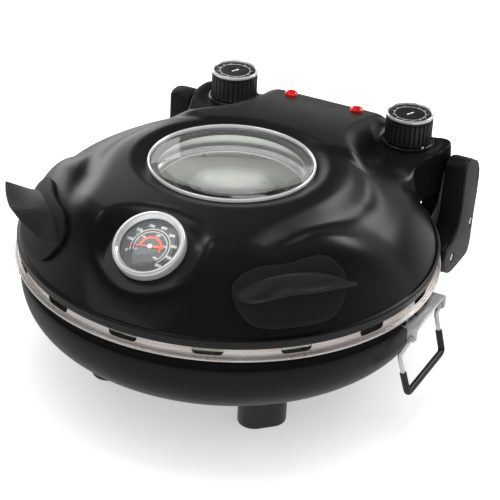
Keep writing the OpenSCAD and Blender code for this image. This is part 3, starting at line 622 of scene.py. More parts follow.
def finish(name):
    """The named finish, built once."""
    made = bpy.data.materials.get(name)
    if made:
        return made
    c = colours()
    enamel, plastic = tuple(c.enamel), tuple(c.plastic)
    recipes = {
        "satin_enamel": lambda: painted(name, enamel, (0.30, 0.36), wear_and_highlight=0.25, bump=0.03, grain=2200.0,
                                        wear_and_highlight_colour=(0.03, 0.03, 0.03), specular=0.42),
        "matt_plastic": lambda: painted(name, plastic, (0.44, 0.54), wear_and_highlight=0.45, bump=0.10, grain=2600.0,
                                        specular=0.4),
        "arm_plastic": lambda: painted(name, (0.005, 0.005, 0.005), (0.42, 0.52), wear_and_highlight=0.3, bump=0.08, grain=2600.0,
                                       specular=0.22),
        "soft_plastic": lambda: painted(name, plastic, (0.36, 0.44), wear_and_highlight=0.45, bump=0.05, grain=2600.0),
        "gloss_plastic": lambda: painted(name, plastic, (0.14, 0.22), wear_and_highlight=0.4, bump=0.02, grain=1800.0, coat=0.3),
        "cover_plastic": lambda: painted(name, (0.013, 0.013, 0.0135), (0.36, 0.46), wear_and_highlight=0.6, bump=0.06,
                                         wear_and_highlight_colour=(0.06, 0.06, 0.06), grain=2400.0),
        "black_sleeve": lambda: painted(name, (0.012, 0.012, 0.012), (0.28, 0.4), wear_and_highlight=0.2, bump=0.06),
        "dark_rubber": lambda: painted(name, (0.02, 0.02, 0.02), (0.5, 0.65), wear_and_highlight=0.2, bump=0.1),
        # Near-black with almost no gloss: painted shade for the gap below the flange and the wall under each shoulder.
        "hollow_black": lambda: painted(name, (0.004, 0.004, 0.004), (0.6, 0.75), wear_and_highlight=0.05, bump=0.05,
                                        specular=0.08),
        "bowl_enamel": lambda: painted(name, enamel, (0.32, 0.38), wear_and_highlight=0.25, bump=0.03, grain=2200.0,
                                       wear_and_highlight_colour=(0.03, 0.03, 0.03), specular=0.26),
        "dark_plate": lambda: metal(name, (0.16, 0.16, 0.16), (0.1, 0.1, 0.1), (0.4, 0.55), lines=420.0, along=30.0),
        "polished_chrome": lambda: metal(name, (0.93, 0.93, 0.94), (0.86, 0.86, 0.87), (0.08, 0.15),
                                         lines=300.0, bump=0.01, metallic=0.62),
        # Dark steel: painted shade for the tray's inside as seen through the slots.
        "painted_shade_steel": lambda: metal(name, (0.05, 0.045, 0.042), (0.025, 0.023, 0.022), (0.5, 0.65), metallic=0.9),
        "bright_steel": lambda: metal(name, (0.86, 0.82, 0.79), (0.66, 0.6, 0.57), (0.2, 0.34), bump=0.06),
        "zinc_steel": lambda: metal(name, (0.78, 0.78, 0.79), (0.62, 0.62, 0.63), (0.26, 0.42), lines=420.0,
                                    along=30.0, bump=0.05),
        "plated_wire": lambda: metal(name, (0.88, 0.88, 0.88), (0.72, 0.72, 0.72), (0.1, 0.24), lines=240.0,
                                     along=90.0, bump=0.04),
        "bright_pan": lambda: metal(name, (0.8, 0.8, 0.79), (0.68, 0.68, 0.67), (0.3, 0.45), bump=0.05),
        "heater_sheath": lambda: metal(name, (0.2, 0.19, 0.18), (0.09, 0.085, 0.08), (0.45, 0.6), along=60.0),
        "oiled_bronze": lambda: metal(name, (0.62, 0.47, 0.26), (0.42, 0.3, 0.16), (0.35, 0.5), lines=500.0),
        "fired_stone": lambda: mineral(name, tuple(c.stone), tuple(v * 0.93 for v in c.stone), (0.35, 0.5),
                                       bump=0.06),
        "ivory_plastic": lambda: mineral(name, (0.72, 0.68, 0.58), (0.66, 0.62, 0.52), (0.4, 0.55), bump=0.1),
        "dial_slate": lambda: mineral(name, (0.078, 0.083, 0.09), (0.062, 0.066, 0.072), (0.4, 0.5), 400.0, 0.05),
        "dial_white": lambda: mineral(name, (0.8, 0.8, 0.78), (0.7, 0.7, 0.68), (0.4, 0.5), 600.0, 0.03),
        "dial_red": lambda: mineral(name, tuple(c.scale_band), tuple(v * 0.85 for v in c.scale_band),
                                    (0.35, 0.45), 500.0, 0.03),
        "lamp_red": lambda: lamp_lens(name, tuple(c.lamp)),
        "window_clear": lambda: clear_glass(name, (0.985, 0.992, 0.986)),
    }
    return recipes[name]()


# ------------------------------------------------------------ lid
def lid_rows():
    """Functions that give (r, z) of each row for an array of directions."""
    rows = []
    outer = 112
    for i in range(outer + 1):
        s = i / outer
        s = 1 - (1 - s) ** 1.25

        def outer_row(a, s=s):
            r = mix(HOLE_R, lid_edge(a), s)
            return r, lid_z(r * np.cos(a), r * np.sin(a))
        rows.append(outer_row)
    hem = [(0.5, -0.3), (1.7, -0.4), (2.4, -0.8), (2.75, -1.5), (2.8, -2.5), (2.65, -3.1), (2.1, -3.3), (2.0, -3.6),
           (2.0, -7.9), (1.85, -8.2), (1.5, -8.2), (1.35, -7.9), (1.3, -3.4), (-0.9, -3.2), (-1.8, -2.9), (-2.2, -2.0)]
    lip_low = -3.3
    for out, drop in hem:
        def hem_row(a, out=out, drop=drop):
            lip = out * (1 - in_block(a)) if out > 0 else out
            depth = drop if drop >= lip_low else lip_low + (drop - lip_low) * skirt(a)
            return lid_edge(a) + lip, foot_z(a) + depth
        rows.append(hem_row)
    inner = 30
    for i in range(inner, -1, -1):
        s = i / inner

        def inner_row(a, s=s):
            r = mix(HOLE_R, lid_edge(a) - LID_WALL, s)
            return r, lid_z(r * np.cos(a), r * np.sin(a)) - LID_WALL
        rows.append(inner_row)
    return rows


def build_lid():
    rows = lid_rows()
    steps = 400
    bm = chain([(i + 1.0, 0.0) for i in range(len(rows))])
    bmesh.ops.spin(bm, geom=bm.verts[:] + bm.edges[:], cent=(0, 0, 0), axis=(0, 0, 1),
                   angle=2 * math.pi, steps=steps, use_merge=True)
    co = np.array([v.co for v in bm.verts])
    index = np.round(np.hypot(co[:, 0], co[:, 1])).astype(int) - 1
    angle = np.arctan2(co[:, 1], co[:, 0])
    out = np.zeros_like(co)
    for i, row in enumerate(rows):
        pick = index == i
        a = angle[pick]
        r, z = row(a)
        out[pick] = np.stack([r * np.cos(a), r * np.sin(a), z], 1)
    for v, p in zip(bm.verts, out):
        v.co = p
    first = [e for e in bm.edges if e.is_boundary]
    bmesh.ops.bridge_loops(bm, edges=first)
    bmesh.ops.recalc_face_normals(bm, faces=bm.faces[:])
    return bm


def painted_shade_wall(face):
    """The steep wall between a shoulder and its hinge arm, which takes a near-black finish as painted shade."""
    centre = face.calc_center_median()
    return abs(centre.x) > 100 and 84 < centre.y < 182 and centre.z < 160 and face.normal.z < 0.4


# ------------------------------------------------------------ operators
class OvenOperator(bpy.types.Operator):
    """Shared behaviour of the builders."""
    bl_idname = "oven.base"
    bl_label = "Base"
    bl_options = {"REGISTER", "UNDO"}


class OVEN_OT_lid(OvenOperator):
    """Chrome ring and outer pane of the round window"""
    bl_idname = "oven.lid"
    bl_label = "Lid skin"

    def execute(self, context):
        bm = build_lid()
        # Faces of the steep wall under each shoulder take the near-black finish: painted shade.
        set_material(bm, 1, painted_shade_wall)
        piece("lid_skin", bm, "lid", ["satin_enamel", "hollow_black"], ["lid_shell"], sharp=60)
        return {"FINISHED"}


class OVEN_OT_window(OvenOperator):
    """Chrome ring, outer pane and gasket of the round window"""
    bl_idname = "oven.window"
    bl_label = "Window"

    def execute(self, context):
        ring = rounded([(64.7, 174.8), (64.7, 171.2), (64.0, 171.2), (64.0, 176.7), (64.5, 177.5), (65.4, 177.8),
                        (66.2, 177.0), (66.2, 174.8)], 0.6, 4)
        piece("window_trim", revolve(ring, 160), "lid", "polished_chrome", ["window_ring"])
        pane = rounded([(0, 177.2), (40, 176.8), (63.7, 175.5), (63.7, 172.2), (0, 173.4)], [0, 20, 0.8, 0.8, 0], 6)
        piece("window_pane", revolve(pane, 128), "lid", "window_clear", ["window_glass"])
        return {"FINISHED"}


class OVEN_OT_bowl(OvenOperator):
    """Base bowl with its rolled lip, and the support ring above it"""
    bl_idname = "oven.bowl"
    bl_label = "Base bowl"

    def execute(self, context):
        span = BOWL_TOP - BOWL_BOTTOM
        levels = [BOWL_TOP - 6 - (span - 6) * math.sin(math.radians(i * 90 / 40)) for i in range(41)]

        def radius(z):
            t = (BOWL_TOP - z) / span
            return BOWL_R * max(1 - t ** 2.6, 0) ** 0.25
        lip = [(-3.1, -1.9), (-3.1, -0.6), (-2.5, -0.1), (-1.8, 0.0), (-1.1, -0.6), (-0.5, -1.9), (-0.15, -3.7)]
        outer = [(BOWL_R + r, BOWL_TOP + z) for r, z in lip]
        outer += [(radius(z), z) for z in levels[:-1]]
        outer += [(0, BOWL_BOTTOM), (0, BOWL_BOTTOM + 1.2)]
        inner = [(max(radius(z) - 1.3, 0.5), z + 1.2) for z in levels[:-2]]
        piece("bowl_skin", revolve(outer + inner[::-1], 192), "base", "bowl_enamel",
              ["base_shell"])
        ring = rounded([(160, 86), (164.4, 86), (164.4, 94.5), (163.9, 95.2), (164.4, 95.9), (164.4, 99.3),
                        (162.4, 99.3), (162.4, 88), (160, 88)], 0.4, 2)
        # The support ring takes the near-black finish: painted shade in the gap below the flange.
        piece("support_ring", revolve(ring, 160), "base", "hollow_black", ["base_collar"])
        return {"FINISHED"}


def stadium(width, height, steps=8):
    """Slot outline in XY."""
    half, r = (width - height) / 2, height / 2
    right = [(half + r * math.cos(t), r * math.sin(t))
             for t in (math.radians(-90 + 180 * i / steps) for i in range(steps + 1))]
    return right + [(-x, -y) for x, y in right]


class OVEN_OT_tray(OvenOperator):
    """Steel tray with its rolled flange and the row of vent slots"""
    bl_idname = "oven.tray"
    bl_label = "Slotted tray"

    def execute(self, context):
        s = sizes()
        z = FLANGE_Z
        outline = [(146, 84.9), (158, 84.9), (158, z - 1.6), (167.2, z - 1.6), (168.6, z - 1.9), (169.7, z - 1.5),
                   (FLANGE_R, z - 0.4), (169.6, z + 0.5), (168.6, z + 0.6), (167.9, z - 0.2), (166.9, z - 0.3),
                   (166.2, z + 0.8), (166.2, 112.8), (165.4, 113.2), (162, 113.2), (162, 112.4), (165.2, 112.2),
                   (165.2, z - 0.6), (157, z - 0.6), (157, 85.9), (146, 85.9)]
        bm = revolve(rounded(outline, 0.45, 3), 256)
        tools = []
        for i in range(s.slot_count):
            slot = prism(stadium(s.slot_length, SLOT_H), 0, 9)
            stand = Matrix(((0, 0, 1, 0), (1, 0, 0, 0), (0, 1, 0, 0), (0, 0, 0, 1)))
            tools.append((slot, turn(-90 + i * 360 / s.slot_count) @ move(161, 0, SLOT_Z) @ stand))
        bm = cut(bm, joined(*tools))
        # Faces inside the slot band take the dark steel: painted shade.
        set_material(bm, 1, lambda f: z - 0.9 < f.calc_center_median().z < 112.3
                     and math.hypot(*f.calc_center_median().xy) < 166.0)
        piece("vent_tray", bm, "base", ["bright_steel", "painted_shade_steel"], ["stone_tray"])
        stone = rounded([(0, 85.95), (154, 85.95), (155, 86.9), (155, 97.0), (154, 97.95), (31, 97.95), (30.6, 97.2),
                         (28.4, 97.2), (28, 97.95), (0, 97.95)], 0.5, 3)
        piece("stone_slab", revolve(stone, 160), "base", "fired_stone", ["pizza_stone"])
        return {"FINISHED"}


def skin_point(a, r, lift):
    """Point on the dome at direction a (degrees), radius r, lifted off by lift."""
    def height(q):
        return smin(np.array(RIM_Z + 2 * (LID_R - q)), dome_z(np.array(q)), 26.0)
    slope = float(height(r + 1) - height(r))
    k = lift / math.hypot(1, slope)
    rad = math.radians(a)
    return Vector(((r - slope * k) * math.cos(rad), (r - slope * k) * math.sin(rad), float(height(r)) + k))


HANDLE_FROM, HANDLE_TO = -62.0, -29.0


def smooth01(a, b, x):
    t = min(max((x - a) / (b - a), 0), 1)
    return t * t * (3 - 2 * t)


def plate_point(u, v, lift):
    a = HANDLE_FROM + (HANDLE_TO - HANDLE_FROM) * u
    ends = 1 - abs(2 * u - 1) ** 4
    top = 147.5 - 7.5 * ends - 2.5 * smooth01(0.45, 0.85, u) * (1 - smooth01(0.88, 1, u))
    low = 151.5 + 11 * (1 - abs(2 * u - 1) ** 5)
    return skin_point(a, top + (low - top) * v, lift)


def fin_point(u, w, up):
    """Grip blade: w runs from its root on the plate to its lip."""
    a = -62 + 33.5 * u
    root = skin_point(a, 143.9 + 6.4 * abs((a + 46) / 16.5) ** 2.3, 3.0)
    rad = math.radians(-61.8 + 30.2 * u)
    reach = 153 + 23 * math.sin(math.radians(90 * min(u / 0.6, 1))) ** 0.85
    height = 147 + 13 * smooth01(0.08, 0.5, u) - smooth01(0.8, 1, u)
    lip = Vector((reach * math.cos(rad), reach * math.sin(rad), height))
    sag = 2.2 * math.sin(math.pi * w) * math.sin(math.pi * u)
    return root.lerp(lip, w) - Vector((0, 0, sag + (1 - up) * (5.0 - 2.2 * w)))


def sheet(function, nu, nv, low, high):
    """Closed slab between two lifts of a surface function of u and v."""
    bm = bmesh.new()
    bmesh.ops.create_grid(bm, x_segments=nu, y_segments=nv, size=0.5)
    top = bmesh.ops.extrude_face_region(bm, geom=bm.faces[:])
    upper = {g for g in top["geom"] if isinstance(g, bmesh.types.BMVert)}
    places = {v: function(v.co.x + 0.5, v.co.y + 0.5, high if v in upper else low) for v in bm.verts}
    for v, p in places.items():
        v.co = p
    bmesh.ops.recalc_face_normals(bm, faces=bm.faces[:])
    return bm


class OVEN_OT_handles(OvenOperator):
    """Two lid handles, each a base plate and an arched grip"""
    bl_idname = "oven.handles"
    bl_label = "Handles"

    def execute(self, context):
        plate = soften(sheet(plate_point, 40, 12, 0.4, 4.0), 1.1, 3, 40)
        grip = soften(sheet(fin_point, 40, 10, 0.0, 1.0), 0.7, 3, 40)
        right = joined(plate, grip)
        left = mirrored(right)
        for (side, _), bm in zip(SIDES, (left, right)):
            piece(f"handle_grip_{side}", bm, "lid", "matt_plastic", [f"handle_{side}"], sharp=50)
        return {"FINISHED"}


class OVEN_OT_knobs(OvenOperator):
    """Ribbed control knobs with chrome crown rings, dials and collars"""
    bl_idname = "oven.knobs"
    bl_label = "Control knobs"

    def execute(self, context):
        radius, ribs = sizes().knob_radius, sizes().knob_ribs
        for side, sign in SIDES:
            here = move(sign * KNOB_X, KNOB_Y, PAD_Z)
            body = "timer_knob" if sign < 0 else "thermostat_knob"
            outline = []
            pitch = 360 / ribs
            for i in range(ribs):
                for off, r in ((-0.33, radius), (0.0, radius + 0.02), (0.33, radius), (0.40, radius - 1.15),
                               (0.60, radius - 1.15)):
                    t = math.radians((i + off) * pitch)
                    outline.append((r * math.cos(t), r * math.sin(t)))
            grip = soften(prism(outline, 3.0, 21.6), 0.22, 1, 60)
            skirt = revolve(rounded([(0, 4.2), (16.4, 4.2), (16.4, 2.7), (radius - 1.1, 2.7), (radius - 0.1, 3.3),
                                     (radius - 0.1, 4.6), (radius - 1.2, 4.9), (0, 4.9)], 0.3, 2), 96)
            head = revolve(rounded([(0, 21.4), (radius - 0.9, 21.4), (radius - 0.4, 22.2), (radius - 0.4, 24.0),
                                    (18.1, 24.0), (18.1, 25.2), (0, 25.2)], 0.3, 2), 96)
            piece(f"knob_grip_{side}", joined((grip, here), (skirt, here), (head, here)), body,
                  "soft_plastic", [f"knob_{side}"])
            crown = rounded([(18.0, 24.1), (radius, 24.1), (radius, 25.8), (radius - 0.5, 26.6), (18.7, 26.7),
                             (18.0, 26.1)], 0.35, 3)
            piece(f"knob_crown_{side}", joined((revolve(crown, 128), here)), body,
                  "polished_chrome", [f"knob_ring_{side}"])
            marks = []
            for i in range(12):
                long = i % 3 == 0
                tick = prism([(-0.16, 12.3 if long else 13.0), (0.16, 12.3 if long else 13.0), (0.16, 15.4),
                              (-0.16, 15.4)], 25.18, 25.3)
                marks.append((tick, here @ turn(-10 - i * 28)))
            circle = revolve([(13.0, 25.18), (13.3, 25.18), (13.3, 25.3), (13.0, 25.3)], 72)
            marks.append((circle, here))
            pointer = prism([(-0.7, -3.4), (0.7, -3.4), (0.35, 1.6), (1.2, 1.6), (0, 4.6), (-1.2, 1.6),
                             (-0.35, 1.6)], 25.18, 25.34)
            marks.append((pointer, here @ turn(-25)))
            piece(f"knob_marks_{side}", joined(*marks), body, "dial_white")
            collar = rounded([(7, 0.25), (22.4, 0.25), (22.4, 1.2), (21.6, 2.2), (20.2, 2.3), (19.6, 1.7), (7, 1.7)],
                             0.35, 3)
            dot = bmesh.new()
            bmesh.ops.create_uvsphere(dot, u_segments=20, v_segments=12, radius=1.2)
            spot = here @ turn(-32) @ move(21.0, 0, 2.2)
            piece(f"knob_base_{side}", joined((revolve(collar, 96), here)), "lid",
                  "gloss_plastic", [f"knob_collar_{side}"])
            piece(f"knob_index_{side}", joined((dot, spot)), "lid", "polished_chrome")
        return {"FINISHED"}


class OVEN_OT_gauge(OvenOperator):
    """Thermometer: bezel, dial with its scale, needle and lens"""
    bl_idname = "oven.gauge"
    bl_label = "Gauge"

    def execute(self, context):
        r = 27.7
        bezel = rounded([(22.4, -3.4), (22.9, -2.5), (24.6, -0.4), (25.8, 0), (27.3, -0.9), (r, -2.4), (r, -8.6),
                         (r - 1.2, -8.6), (r - 1.2, -2.9), (25.8, -1.5), (24.9, -1.7), (23.2, -4.2),
                         (22.4, -4.2)], 0.5, 4)
        piece("gauge_trim", joined((revolve(bezel, 128), GAUGE)), "lid", "polished_chrome",
              ["gauge_bezel"])
        face = rounded([(0, -7.3), (24.3, -7.3), (24.3, -6.75), (0, -6.75)], [0, 0.1, 0.2, 0], 2)
        piece("gauge_face", joined((revolve(face, 96), GAUGE)), "lid", "dial_slate", ["gauge_dial"])
        marks = []
        z0, z1 = -6.78, -6.66
        start, sweep = 205.0, 250.0

        def arc(r0, r1, a0, a1, steps=40):
            t = [math.radians(a0 + (a1 - a0) * i / steps) for i in range(steps + 1)]
            return prism([(r1 * math.cos(q), r1 * math.sin(q)) for q in t]
                         + [(r0 * math.cos(q), r0 * math.sin(q)) for q in reversed(t)], z0, z1)
        for r0, r1 in ((14.55, 14.95), (12.5, 12.85)):
            marks.append((arc(r0, r1, start - sweep, start), GAUGE))
        for i in range(41):
            a = start - sweep * i / 40
            long = i % 5 == 0
            for inner, outer in ((14.8, 16.0 if long else 15.4), (11.6 if long else 12.0, 12.55)):
                tick = prism([(inner, -0.14), (outer, -0.14), (outer, 0.14), (inner, 0.14)], z0, z1)
                marks.append((tick, GAUGE @ turn(a)))
        for i in range(9):
            a = math.radians(start - sweep * i / 8)
            outer = digits(str(i * 100), 3.2, 0.05)
            marks.append((outer, GAUGE @ move(17.6 * math.cos(a), 17.6 * math.sin(a), -6.7)))
            if i % 2 == 0:
                inner = digits(str(i * 50), 2.3, 0.05)
                marks.append((inner, GAUGE @ move(10.4 * math.cos(a), 10.4 * math.sin(a), -6.7)))
        piece("gauge_scale", joined(*marks), "lid", "dial_white")
        band = arc(7.0, 9.0, start - sweep + 28, start - 26)
        piece("gauge_band", joined((band, GAUGE)), "lid", "dial_red")
        needle = soften(prism([(-10.8, -1.5), (-2, -0.8), (2, -0.7), (15.6, -0.25), (15.9, 0), (15.6, 0.25),
                               (2, 0.7), (-2, 0.8), (-10.8, 1.5)], -6.15, -5.8), 0.08, 1)
        piece("gauge_pointer", joined((needle, GAUGE @ turn(190))), "needle", "dial_red",
              ["gauge_needle"])
        hub = revolve(rounded([(0, -7.2), (0.9, -7.2), (0.9, -6.3), (1.9, -6.2), (1.9, -5.6), (1.4, -5.45),
                               (0, -5.4)], [0, 0, 0, 0.2, 0.2, 0.2, 0], 3), 48)
        piece("gauge_hub", joined((hub, GAUGE)), "needle", "dial_white")
        lens = rounded([(0, -5.15), (24.3, -5.15), (24.3, -4.45), (0, -4.35)], [0, 0.2, 0.2, 0], 2)
        piece("gauge_cover", joined((revolve(lens, 96), GAUGE)), "lid", "window_clear",
              ["gauge_lens"])
        return {"FINISHED"}


class OVEN_OT_lamps(OvenOperator):
    """Red indicator lamps on the rear deck"""
    bl_idname = "oven.lamps"
    bl_label = "Lamps"

    def execute(self, context):
        level = float(lid_z(np.array([LAMP_X]), np.array([LAMP_Y]))[0])
        for side, sign in SIDES:
            here = move(sign * LAMP_X, LAMP_Y, level)
            dome = [(0, 3.6)] + [(5.6 * math.sin(t), 1.0 + 2.6 * math.cos(t) ** 0.8)
                                 for t in (math.radians(8 * i) for i in range(1, 11))]
            dome += [(5.7, 0.6), (5.7, -0.5), (4.4, -0.6), (4.4, -9), (0, -9)]
            piece(f"lamp_lens_{side}", joined((revolve(dome, 64), here)), "lid", "lamp_red",
                  [f"lamp_{side}"])
        return {"FINISHED"}


ARM_CORNERS = [(153, 143.5, 5), (165, 145.5, 8), (180, 140, 10), (187.5, 128, 10), (187.2, 108, 20),
               (183.5, 84, 20), (182.5, 60, 7), (178, 51, 7), (160, 50, 8), (137, 50, 9), (124, 57, 7),
               (119.5, 70, 5), (123, 77.5, 6), (136, 79.5, 9), (147, 88, 9), (152, 100, 12), (152.8, 122, 12)]


def arm_profile(shrink=0.0):
    """Side outline of a hinge arm as (y, z), drawn in by shrink."""
    outline = rounded([(y, z) for y, z, r in ARM_CORNERS], [r for y, z, r in ARM_CORNERS], 5)
    bm = prism(outline, 0, 1)
    if shrink:
        top = [f for f in bm.faces if f.normal.z > 0.9]
        bmesh.ops.inset_region(bm, faces=top, thickness=shrink, use_even_offset=True)
        face = max((f for f in bm.faces if f.normal.z > 0.9), key=lambda f: len(f.verts))
        outline = [(v.co.x, v.co.y) for v in face.verts]
    bm.free()
    return outline


def side_prism(outline, x0, x1):
    """Outline in (y, z) pulled from x0 to x1."""
    bm = prism(outline, x0, x1)
    turned = Matrix(((0, 0, 1, 0), (1, 0, 0, 0), (0, 1, 0, 0), (0, 0, 0, 1)))
    bmesh.ops.transform(bm, matrix=turned, verts=bm.verts[:])
    return bm


def screw_head(r, h, slot=0.7):
    """Round head with a crossed recess."""
    bm = revolve(rounded([(0, 0), (r, 0), (r, h * 0.45), (r * 0.75, h * 0.9), (0, h)], [0, 0, 0.3, 0.3, 0], 3), 40)
    cross = joined(prism([(-r * 0.5, -slot / 2), (r * 0.5, -slot / 2), (r * 0.5, slot / 2), (-r * 0.5, slot / 2)],
                         h * 0.35, h + 1),)
    cross2 = prism([(-slot / 2, -r * 0.5), (slot / 2, -r * 0.5), (slot / 2, r * 0.5), (-slot / 2, r * 0.5)],
                   h * 0.351, h + 1.01)
    return cut(cut(bm, cross), cross2)


class OVEN_OT_arms(OvenOperator):
    """Rear hinge arms, their side covers and screws"""
    bl_idname = "oven.arms"
    bl_label = "Hinge arms"

    def execute(self, context):
        screws = []
        for side, sign in SIDES:
            arm = side_prism(arm_profile(), 121.6, 137.9)
            soften(arm, 1.2, 3, 40)
            hollow = side_prism(arm_profile(3.0), 126.6, 145)
            hood = soften(side_prism([(151, 62), (151, 104), (157, 110.5), (183, 110.5), (183, 62)], 104, 122), 1.5, 3)
            arm = joined(cut(arm, hollow), hood)
            cover = side_prism(arm_profile(0.25), 137.9, 141.0)
            soften(cover, 1.1, 3, 40)
            holes = [(revolve([(0, 0), (4.35, 0), (4.35, 6), (0, 6)], 32),
                      move(139.0, y, z) @ turn(90, "Y")) for y, z in ((178, 82), (139, 65))]
            slot = side_prism([(181.6, 119), (182.8, 118.8), (183.6, 125), (182.4, 131), (181.2, 131),
                               (182.2, 125)], 139.7, 145)
            cover = cut(cover, joined(*holes, slot))
            parts = [(arm, "arm_body", "hinge_arm", "arm_plastic"), (cover, "arm_plate", "arm_cover", "cover_plastic")]
            for bm, label, old, look in parts:
                bm = bm if sign > 0 else mirrored(bm)
                piece(f"{label}_{side}", bm, "base", look, [f"{old}_{side}"])
            for y, z in ((178, 82), (139, 65)):
                head = screw_head(3.7, 1.6)
                stand = Matrix.Scale(sign, 4, (1, 0, 0)) @ move(139.1, y, z) @ turn(90, "Y") @ turn(25)
                screws.append((head, stand))
        piece("arm_screw_heads", joined(*screws), "base", "polished_chrome", ["arm_screws"])
        return {"FINISHED"}


def bail_points():
    y0 = EAR_Y + 5
    top, knee, foot = (BAIL_X, y0, BAIL_Z), (BAIL_X - 6, y0 + 3, BAIL_Z - 14), (BAIL_X + 3, y0 + 1, BAIL_Z - 46)
    return top, knee, foot


class OVEN_OT_bails(OvenOperator):
    """Carrying bails: bent wire, dark sleeve, and the brackets they hang from"""
    bl_idname = "oven.bails"
    bl_label = "Carrying bails"

    def execute(self, context):
        r = sizes().wire_diameter / 2
        top, knee, foot = bail_points()
        flip = lambda p: (p[0], -p[1], p[2])
        stub = (BAIL_X, EAR_Y - 3.6, BAIL_Z)
        wire = tube([stub, (BAIL_X, top[1] - 0.3, BAIL_Z), knee, foot, flip(foot), flip(knee),
                     (BAIL_X, -top[1] + 0.3, BAIL_Z), flip(stub)], r, 3.6, 20)
        soft = Vector(knee).lerp(Vector(foot), 0.45)
        sleeve = tube([soft, foot, flip(foot), flip(soft)], 2.75, 4.2, 20)
        plate = []
        z = BRACKET_Z
        inner = [(165.9 * math.cos(math.radians(a)), 165.9 * math.sin(math.radians(a))) for a in range(-10, 11, 2)]
        outline = [(176.3, -30), (176.3, 30), (166.2, 30)] + [p for p in reversed(inner) if abs(p[1]) < 29.5] \
            + [(166.2, -30)]
        deck = soften(prism(outline, z, z + 1.4), 0.35, 2, 40)
        plate.append(deck)
        for s in (-1, 1):
            ear = [(BAIL_X - 4.5, z + 0.6), (BAIL_X - 4.5, BAIL_Z)]
            ear += [(BAIL_X - 0.5 + 4 * math.cos(t), BAIL_Z + 4 * math.sin(t))
                    for t in (math.radians(180 + 15 * i) for i in range(13))]
            ear += [(BAIL_X + 3.5, z + 0.6)]
            bm = prism(ear, -1, 1)
            hole = revolve([(0, -3), (r + 0.06, -3), (r + 0.06, 3), (0, 3)], 32)
            bm = cut(bm, joined((hole, move(BAIL_X, BAIL_Z, 0))))
            soften(bm, 0.3, 2, 50)
            upright = Matrix(((1, 0, 0, 0), (0, 0, -1, s * EAR_Y), (0, 1, 0, 0), (0, 0, 0, 1)))
            plate.append((bm, upright))
        lugs = []
        for a in (-9.4, -3.2, 3.2, 9.4):
            lugs.append((soften(prism([(163.9, -1.6), (168.2, -1.6), (168.2, 1.6), (163.9, 1.6)], z + 1.35, z + 4.6),
                                0.3, 2), turn(a)))
        bracket, lug = joined(*plate), joined(*lugs)
        for side, sign in SIDES:
            own = (lambda bm: bm.copy()) if sign > 0 else mirrored
            body = f"bail_{side}_body"
            piece(f"bail_wire_{side}", own(wire), body, "plated_wire", [f"bail_{side}"])
            piece(f"bail_grip_{side}", own(sleeve), body, "black_sleeve", [f"bail_sleeve_{side}"])
            piece(f"bracket_plate_{side}", own(bracket), "base", "zinc_steel", [f"bail_bracket_{side}"])
            # The lugs take the near-black finish: painted shade like the gap they sit in.
            piece(f"bracket_lugs_{side}", own(lug), "base", "hollow_black")
        return {"FINISHED"}


class OVEN_OT_feet(OvenOperator):
    """Four moulded feet"""
    bl_idname = "oven.feet"
    bl_label = "Feet"

    def execute(self, context):
        feet = []
        for a in (45, 135, 225, 315):
            foot = prism(stadium(39, 26, 16), 0, 33)
            sole = [e for e in foot.edges if all(v.co.z < 0.1 for v in e.verts)]
            soften(foot, 1.6, 3, edges=sole)
            feet.append((foot, turn(a) @ move(100, 0, 0) @ turn(90)))
        piece("foot_pads", joined(*feet), "base", "soft_plastic", ["feet"])
        return {"FINISHED"}


CARRIED = {
    "bright_pan": ["base_pan", "lid_liner", "control_floor"],
    "heater_sheath": ["lower_element", "upper_element"],
    "zinc_steel": ["lower_clips", "upper_clips", "foot_screws", "bracket_rivets", "hinge_pin_left",
                   "hinge_pin_right", "timer_shaft", "thermostat_shaft", "handle_screws"],
    "dark_plate": ["hinge_bracket_left", "hinge_bracket_right"],
    "ivory_plastic": ["thermal_cutout", "terminal_block", "timer", "thermostat"],
    "matt_plastic": ["cord_inlet"],
    "window_clear": ["inner_glass"],
    "dark_rubber": ["window_gasket"],
    "polished_chrome": ["gauge_case"],
    "oiled_bronze": ["hinge_bush_left", "hinge_bush_right"],
}


class OVEN_OT_inside(OvenOperator):
    """Finishes of the frame's own inner pieces"""
    bl_idname = "oven.inside"
    bl_label = "Inner pieces"

    def execute(self, context):
        for look, names in CARRIED.items():
            for name in names:
                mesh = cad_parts[name].data
                mesh.materials.clear()
                mesh.materials.append(finish(look))
                mesh.polygons.foreach_set("use_smooth", [True] * len(mesh.polygons))
                mesh.set_sharp_from_angle(angle=math.radians(35))
        return {"FINISHED"}


# ------------------------------------------------------------ stage
def area_light(name, place, target, size, power, size_y=None, colour=(1, 1, 1)):
    lamp = bpy.data.lights.new(name, "AREA")
    lamp.shape = "RECTANGLE"
    lamp.size, lamp.size_y, lamp.energy, lamp.color = size, size_y or size, power, colour
    holder = bpy.data.objects.new(name, lamp)
    bpy.context.scene.collection.objects.link(holder)
    holder.location = place
    holder.rotation_euler = (Vector(target) - Vector(place)).to_track_quat("-Z", "Y").to_euler()
    return holder


